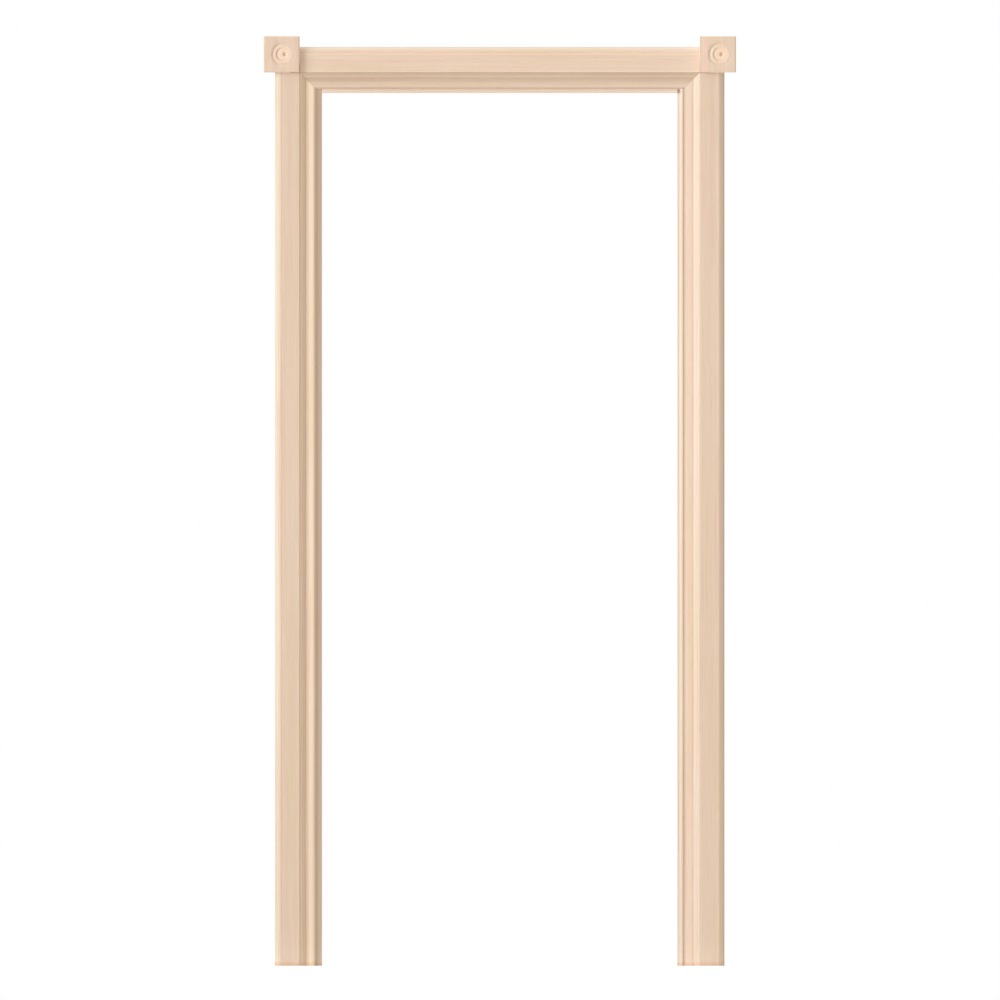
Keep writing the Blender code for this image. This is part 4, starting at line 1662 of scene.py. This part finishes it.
@dataclass
class CornerBlock:
    """Square block with a rosette turned into its face.

    Attributes:
        run: Side of the frame that it is on.
        pith: Place of its log's pith from its middle.
        arris: Radius of the arrises round the face.
        corner: Radius of the four upright corners.
        rosette_offset: How far the rosette's centre lies towards +X from the block's.
        rosette_radius: Radius of the turned area.
        groove_depth: Depth of the two grooves.
        groove_wall: Width of a groove's steep wall.
        ring_width: Width of the ring that rises from the outer groove.
        ring_drop: How far the ring's crest lies under the face.
        rim_width: Width of the button's rising rim.
        rim_drop: How far the button lies under the face.
        swell: How far the ring and the rim swell from a straight rise.
        bowl_radius: Radius of the bowl in the middle.
        bowl_depth: Depth of the bowl under the button.
        bowl_sweep: Part of a quarter round that the bowl takes, in degrees.
        bowl_shift: How far the bowl's centre lies towards +X from the rosette's.
        dish_depth: How far the button is dished towards its bowl.
        shallow_side: Share of its full depth that the cut keeps on its right.
    """

    run: Run
    pith: Point
    arris: float = 0.0022
    corner: float = 0.0006
    rosette_offset: float = 0.0047
    rosette_radius: float = 0.029
    groove_depth: float = 0.002
    groove_wall: float = 0.0040
    ring_width: float = 0.0060
    ring_drop: float = 0.0005
    rim_width: float = 0.0030
    rim_drop: float = 0.0006
    swell: float = 0.0002
    bowl_radius: float = 0.005
    bowl_depth: float = 0.0048
    bowl_sweep: float = 85.0
    bowl_shift: float = 0.0022
    dish_depth: float = 0.0005
    shallow_side: float = 0.15

    # Steps along each stretch of the turned profile
    WALL_STEPS = 6
    SWELL_STEPS = 12
    BUTTON_STEPS = 4
    BOWL_STEPS = 16
    # Steps along each side and each corner of the square, across its face and down its sides
    SIDE_STEPS = 40
    CORNER_STEPS = 4
    FACE_STEPS = 6
    BACK_STEPS = 6

    def profile(self) -> list[Point]:
        """Draw the turned face, from its rim to its centre.

        Returns:
            Radius and depth of each point.
        """
        groove_foot = (self.rosette_radius - self.groove_wall, -self.groove_depth)
        ring_crest = (groove_foot[0] - self.ring_width, -self.ring_drop)
        inner_foot = (ring_crest[0] - self.groove_wall, -self.groove_depth)
        button = (inner_foot[0] - self.rim_width, -self.rim_drop)
        bowl_edge = (self.bowl_radius, -self.rim_drop)
        bowl = (self.bowl_radius, self.bowl_depth)
        knots = bulged((self.rosette_radius, 0), groove_foot, 0, self.WALL_STEPS)
        knots += bulged(groove_foot, ring_crest, -self.swell, self.SWELL_STEPS)[1:]
        knots += bulged(ring_crest, inner_foot, 0, self.WALL_STEPS)[1:]
        knots += bulged(inner_foot, button, -self.swell, self.SWELL_STEPS)[1:]
        knots += bulged(button, bowl_edge, 0, self.BUTTON_STEPS)[1:]
        knots += arc((0, -self.rim_drop), bowl, 0, -self.bowl_sweep, self.BOWL_STEPS)[1:]
        return [(knot.u, -knot.height) for knot in knots]

    def inward(self, radius: float) -> float:
        """How far in from the button's rim a radius is, from 0 at the rim to 1 in the bowl."""
        button_radius = self.rosette_radius - 2 * self.groove_wall - self.ring_width
        return min(max((button_radius - radius) / (button_radius - self.bowl_radius), 0.0), 1.0)

    def cut_share(self, angle: float, radius: float) -> float:
        """How deep the leaning cutter went, as a share of the profile's depth.

        Args:
            angle: Direction from the rosette's centre, from +X.
            radius: Distance from that centre.

        Returns:
            1 at the left of the rosette and inside its bowl, and less towards its right.
        """
        if radius <= self.bowl_radius:
            return 1.0
        leftward = ((1 - math.cos(angle)) / 2) ** 2
        return self.shallow_side + (1 - self.shallow_side) * leftward

    def square(self, half: float) -> list[Point]:
        """Draw a square with rounded corners, with as many points for every size.

        Args:
            half: Half of its side.

        Returns:
            Its points.
        """
        corner = min(self.corner, half)
        flat = half - corner
        side = [(half, -flat + 2 * flat * step / self.SIDE_STEPS) for step in range(self.SIDE_STEPS)]
        angles = [math.pi / 2 * step / self.CORNER_STEPS for step in range(self.CORNER_STEPS)]
        side += [(flat + corner * math.cos(angle), flat + corner * math.sin(angle)) for angle in angles]
        turns = [Matrix.Rotation(math.pi / 2 * quarter, 2) for quarter in range(4)]
        return [tuple(turn @ Vector(point)) for turn in turns for point in side]

    def rosette_rings(self, angles: Sequence[float]) -> list[Ring]:
        """Place the turned face, from its centre to its rim.

        Args:
            angles: Direction of each point of a ring.

        Returns:
            Each ring's points, from the middle of the block's face: across, under the face and up.
        """
        rings = []
        for radius, depth in reversed(self.profile()):
            centre = self.rosette_offset + self.bowl_shift * self.inward(radius)
            dish = self.dish_depth * self.inward(radius)
            rings.append([
                (centre + radius * math.cos(angle),
                 dish + depth * self.cut_share(angle, radius),
                 radius * math.sin(angle)) for angle in angles])
        return rings

    def face_rings(self, rim: Ring, edge: Sequence[Point]) -> list[Ring]:
        """Place the flat face between the turned area and the edge.

        Args:
            rim: Ring round the turned area.
            edge: Points of the face's edge.

        Returns:
            Its rings, as rosette_rings gives them.
        """
        rings = []
        for step in range(1, self.FACE_STEPS + 1):
            share = step / self.FACE_STEPS
            rings.append([
                (x * (1 - share) + edge_x * share, 0.0, y * (1 - share) + edge_y * share)
                for (x, _, y), (edge_x, edge_y) in zip(rim, edge)])
        return rings

    def side_rings(self, half: float, thickness: float) -> list[Ring]:
        """Place the eased arris and the sides behind it.

        Args:
            half: Half of the block's side.
            thickness: Thickness of the block.

        Returns:
            Their rings, as rosette_rings gives them.
        """
        sizes = []
        for step in range(1, EASE_STEPS + 1):
            angle = math.pi / 2 * step / EASE_STEPS
            outward = self.arris * math.sin(angle)
            sizes.append((half - self.arris + outward, self.arris * (1 - math.cos(angle))))
        for step in range(1, self.BACK_STEPS + 1):
            sizes.append((half, self.arris + (thickness - self.arris) * step / self.BACK_STEPS))
        return [[(x, depth, y) for x, y in self.square(size)] for size, depth in sizes]

    def build(self, joinery: Joinery) -> None:
        """Build the block and dress it.

        Args:
            joinery: What dresses it.
        """
        node = "corner_block_" + self.run.value
        low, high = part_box(node)
        middle = (low + high) / 2
        half = (high.x - low.x) / 2
        edge = self.square(half - self.arris)
        rings = self.rosette_rings([math.atan2(y, x) for x, y in edge])
        rings += self.face_rings(rings[-1], edge)
        rings += self.side_rings(half, high.y - low.y)
        mesh = lofted_mesh(node, [
            [(middle.x + x, low.y + depth, middle.z + y) for x, depth, y in ring] for ring in rings])
        rosette = Rosette(Vector((middle.x + self.rosette_offset, low.y, middle.z)), self.rosette_radius)
        joinery.add(
            mesh, node, self.run, BLOCK_FINISH, self.pith, rosette=rosette, strips=BLOCK_STRIPS[self.run])


@dataclass
class PeggedLeg:
    """Jamb with a tenon on its top end, which goes through the head and is locked by two pegs.

    Attributes:
        run: Side of the frame that it is on.
        pith: Place of its log's pith from its middle.
        peg_pith: Place of the pegs' pith from their middles.
        tenon_width: Width of the tenon.
        tenon_thickness: Thickness of the tenon.
        peg_chamfer: Chamfer on a peg's ends.
    """

    run: Run
    pith: Point
    peg_pith: Point = (0.004, 0.011)
    tenon_width: float = 0.040
    tenon_thickness: float = 0.030
    peg_chamfer: float = 0.0005

    @property
    def node(self) -> str:
        """Name of the jamb's solid."""
        return "jamb_" + self.run.value

    @property
    def room(self) -> Extent:
        """Room that the jamb takes."""
        return Extent.of(self.node, self.run)

    def peg_nodes(self) -> list[str]:
        """Names of the two pegs' solids."""
        return [f"joint_peg_{self.run.value}_{number}" for number in (1, 2)]

    def tenon_heights(self) -> Point:
        """Find the tenon's place in the jamb's thickness.

        Returns:
            Its back and front, as heights.
        """
        middle = (self.room.back + self.room.front) / 2
        return (middle - self.tenon_thickness / 2, middle + self.tenon_thickness / 2)

    def box(self, name: str, u: Point, height: Point, along: Point) -> bpy.types.Mesh:
        """Make a box on this side of the frame.

        Args:
            name: Name of the mesh.
            u: Its range across the leg.
            height: Its range forward.
            along: Its range up the leg.

        Returns:
            The mesh.
        """
        first = self.run.place(u[0], height[0], along[0])
        last = self.run.place(u[1], height[1], along[1])
        return box_mesh(name, Vector(map(min, first, last)), Vector(map(max, first, last)))

    def cheeks(self) -> list[bpy.types.Mesh]:
        """Make the cutters that leave the tenon on the jamb's top end.

        Returns:
            Their meshes.
        """
        room = self.room
        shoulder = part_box("head_jamb")[0].z - FIT
        above = (shoulder, room.end + CUTTER_PAST)
        across = (room.inner - CUTTER_PAST, room.outer + CUTTER_PAST)
        back, front = self.tenon_heights()
        rear = (room.back - CUTTER_PAST, back)
        fore = (front, room.front + CUTTER_PAST)
        outer = (room.inner + self.tenon_width, across[1])
        return [
            self.box(f"rear_cheek_{self.run.value}", across, rear, above),
            self.box(f"fore_cheek_{self.run.value}", across, fore, above),
            self.box(f"shoulder_{self.run.value}", outer, (rear[0], fore[1]), above),
        ]

    def mortise(self) -> bpy.types.Mesh:
        """Make the cutter of the head's mortise.

        Returns:
            Its mesh.
        """
        room = self.room
        low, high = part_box("head_jamb")
        back, front = self.tenon_heights()
        return self.box(
            f"mortise_{self.run.value}",
            (room.inner - FIT, room.inner + self.tenon_width + FIT),
            (back - FIT, front + FIT),
            (low.z - CUTTER_PAST, high.z + CUTTER_PAST))

    def peg_bar(
            self,
            node: str,
            name: str,
            clearance: float = 0.0,
            past: float = 0.0,
            chamfer: float = 0.0) -> bpy.types.Mesh:
        """Make a round bar in a peg's place.

        Args:
            node: The peg's solid.
            name: Name of the mesh.
            clearance: How far it stands off the peg.
            past: How far it runs past the peg's ends.
            chamfer: Width of the chamfers on its ends.

        Returns:
            The mesh.
        """
        low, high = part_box(node)
        middle = (low + high) / 2
        radius = (high.x - low.x) / 2 + clearance
        return round_bar(name, radius, low.y - past, high.y + past, (middle.x, middle.z), chamfer)

    def peg_bores(self) -> list[bpy.types.Mesh]:
        """Cutters of the pegs' bores."""
        return [self.peg_bar(node, node + "_bore", FIT, CUTTER_PAST) for node in self.peg_nodes()]

    def head_cutters(self) -> list[bpy.types.Mesh]:
        """Cutters of this corner's mortise and bores in the head."""
        return [self.mortise()] + self.peg_bores()

    def build(self, joinery: Joinery) -> None:
        """Build the jamb and its pegs and dress them.

        Args:
            joinery: What dresses them.
        """
        blank = box_mesh(self.node, *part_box(self.node))
        mesh = cut_mesh(self.node, blank, self.cheeks() + self.peg_bores(), JAMB_ARRIS)
        joinery.add(mesh, self.node, self.run, JAMB_FINISH, self.pith)
        for node in self.peg_nodes():
            peg = self.peg_bar(node, node, chamfer=self.peg_chamfer)
            joinery.add(peg, node, self.run, PEG_FINISH, self.peg_pith, Grain.THROUGH)


@dataclass
class StructuralFrame:
    """Jambs and head behind the mouldings, joined by pegged mortises and tenons.

    Attributes:
        left: The left leg.
        right: The right leg.
        head_pith: Place of the head's pith from its middle.
    """

    left: PeggedLeg
    right: PeggedLeg
    head_pith: Point

    def build(self, joinery: Joinery) -> None:
        """Build the legs and the head and dress them.

        Args:
            joinery: What dresses them.
        """
        node = "head_jamb"
        self.left.build(joinery)
        self.right.build(joinery)
        cutters = self.left.head_cutters() + self.right.head_cutters()
        mesh = cut_mesh(node, box_mesh(node, *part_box(node)), cutters, JAMB_ARRIS)
        joinery.add(mesh, node, Run.HEAD, JAMB_FINISH, self.head_pith)


class Nails:
    """Finish nails, which keep their solids and get a steel skin."""

    def dress(self) -> None:
        """Give every nail the steel."""
        steel = NAIL_FINISH.material()
        nails = [item for name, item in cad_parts.items() if "_nail_" in name]
        for nail in nails:
            nail.data.materials.clear()
            nail.data.materials.append(steel)
        LOG.info("nails: %d dressed, %s", len(nails), NAIL_FINISH.slot)


@dataclass(frozen=True)
class Lamp:
    """Broad, soft lamp far from the frame, a little cooler than white.

    Attributes:
        name: Name of the lamp.
        towards: Direction from the frame to the lamp.
        strength: Light that it throws on a face turned to it.
        spread: Angle that it fills, in degrees.
        colour: Colour of its light.
    """

    name: str
    towards: Triple
    strength: float
    spread: float
    colour: Triple = (0.95, 1.0, 1.085)

    def place(self) -> None:
        """Put the lamp in the scene."""
        light = bpy.data.lights.new(self.name, "SUN")
        light.energy = self.strength
        light.angle = math.radians(self.spread)
        light.color = self.colour
        linked(self.name, light).rotation_euler = Vector(self.towards).to_track_quat("Z", "Y").to_euler()


LAMPS = (
    Lamp("left", towards=(-0.87, -0.47, 0.12), strength=2.05, spread=35.0),
    Lamp("top", towards=(0.0, -0.25, 0.97), strength=0.73, spread=30.0),
    Lamp("front", towards=(0.0, -1.0, 0.05), strength=0.12, spread=60.0),
)


@dataclass
class Studio:
    """Floor, white surroundings, lamps and camera.

    Attributes:
        floor_size: Side of the floor.
        floor_colour: Colour of the floor.
        floor_roughness: Roughness of the floor.
        ambient: Strength of the light from all round.
        ambient_colour: Colour of that light, a little warmer than white.
        camera_distance: Distance of the camera from the frame.
    """

    floor_size: float = 14.0
    floor_colour: Colour = (0.90, 0.90, 0.90, 1.0)
    floor_roughness: float = 0.9
    ambient: float = 0.425
    ambient_colour: Colour = (1.07, 1.0, 0.865, 1.0)
    camera_distance: float = 6.0

    WHITE = (1.0, 1.0, 1.0, 1.0)

    def lay_floor(self) -> None:
        """Lay a pale matt floor that keeps the frame's shadow."""
        shape = bmesh.new()
        bmesh.ops.create_grid(shape, x_segments=1, y_segments=1, size=self.floor_size / 2)
        mesh = as_mesh("floor", shape)
        material = bpy.data.materials.new("floor")
        material.use_nodes = True
        shader = material.node_tree.nodes["Principled BSDF"]
        shader.inputs["Base Color"].default_value = self.floor_colour
        shader.inputs["Roughness"].default_value = self.floor_roughness
        mesh.materials.append(material)
        linked("floor", mesh)

    def surround(self) -> None:
        """Make a world that lights softly but shows white."""
        world = bpy.data.worlds.new("surroundings")
        world.use_nodes = True
        world.node_tree.nodes.clear()
        sheet = Sheet(world.node_tree)
        rays = sheet.add("ShaderNodeLightPath").outputs
        seen = sheet.math("MAXIMUM", rays["Is Camera Ray"], rays["Is Glossy Ray"])
        seen = sheet.math("MAXIMUM", seen, rays["Is Transmission Ray"])
        soft = sheet.add("ShaderNodeBackground", {"Color": self.ambient_colour, "Strength": self.ambient})
        white = sheet.add("ShaderNodeBackground", {"Color": self.WHITE, "Strength": 1.0})
        mixed = sheet.add("ShaderNodeMixShader", {0: seen, 1: soft.outputs[0], 2: white.outputs[0]})
        sheet.add("ShaderNodeOutputWorld", {"Surface": mixed.outputs[0]})
        bpy.context.scene.world = world

    def place_camera(self) -> None:
        """Look straight at the front without perspective, framed as the photo is."""
        camera = bpy.data.cameras.new("camera")
        camera.type = "ORTHO"
        camera.ortho_scale = PHOTO_SIZE * METRES_PER_PIXEL
        item = linked("camera", camera)
        item.location = (
            (PHOTO_SIZE / 2 - FRAME_MIDDLE_PIXEL) * METRES_PER_PIXEL,
            -self.camera_distance,
            (FLOOR_PIXEL - PHOTO_SIZE / 2) * METRES_PER_PIXEL,
        )
        item.rotation_euler = (math.pi / 2, 0, 0)
        bpy.context.scene.camera = item

    def set_up(self) -> None:
        """Set up the whole studio."""
        self.lay_floor()
        for lamp in LAMPS:
            lamp.place()
        self.surround()
        self.place_camera()
        bpy.context.scene.view_settings.view_transform = "Standard"
        LOG.info("studio: %d lamps", len(LAMPS))


# The frame's assemblies, in the order that they are built in
ASSEMBLIES = (
    StructuralFrame(
        left=PeggedLeg(Run.LEFT, pith=(-0.075, 0.085)),
        right=PeggedLeg(Run.RIGHT, pith=(0.095, 0.060)),
        head_pith=(0.070, -0.090)),
    Stop(Run.LEFT, pith=(0.060, 0.045)),
    Stop(Run.RIGHT, pith=(-0.075, 0.050), crest_height=SHALLOW_CREST),
    Stop(Run.HEAD, pith=(0.055, -0.070), lip_tilts=HEAD_LIP_TILTS, crest_height=SHALLOW_CREST),
    InnerMoulding(Run.LEFT, pith=(-0.085, 0.040)),
    InnerMoulding(Run.RIGHT, pith=(0.090, 0.050)),
    InnerMoulding(Run.HEAD, pith=(0.080, 0.045)),
    Casing(Run.LEFT, pith=(0.120, 0.060)),
    Casing(Run.RIGHT, pith=(-0.110, 0.070)),
    Casing(Run.HEAD, pith=(-0.100, 0.080), round_width=0.0120, round_radius=0.0160),
    CornerBlock(Run.LEFT, pith=(-0.090, 0.060)),
    CornerBlock(Run.RIGHT, pith=(0.100, 0.050), arris=0.0008, rosette_offset=0.0060),
)


def main() -> None:
    """Build every piece, dress it and set up the studio."""
    logging.basicConfig(level=logging.INFO, format="%(name)s %(message)s")
    joinery = Joinery()
    for assembly in ASSEMBLIES:
        assembly.build(joinery)
    Nails().dress()
    Studio().set_up()


if __name__ == "__main__":
    main()
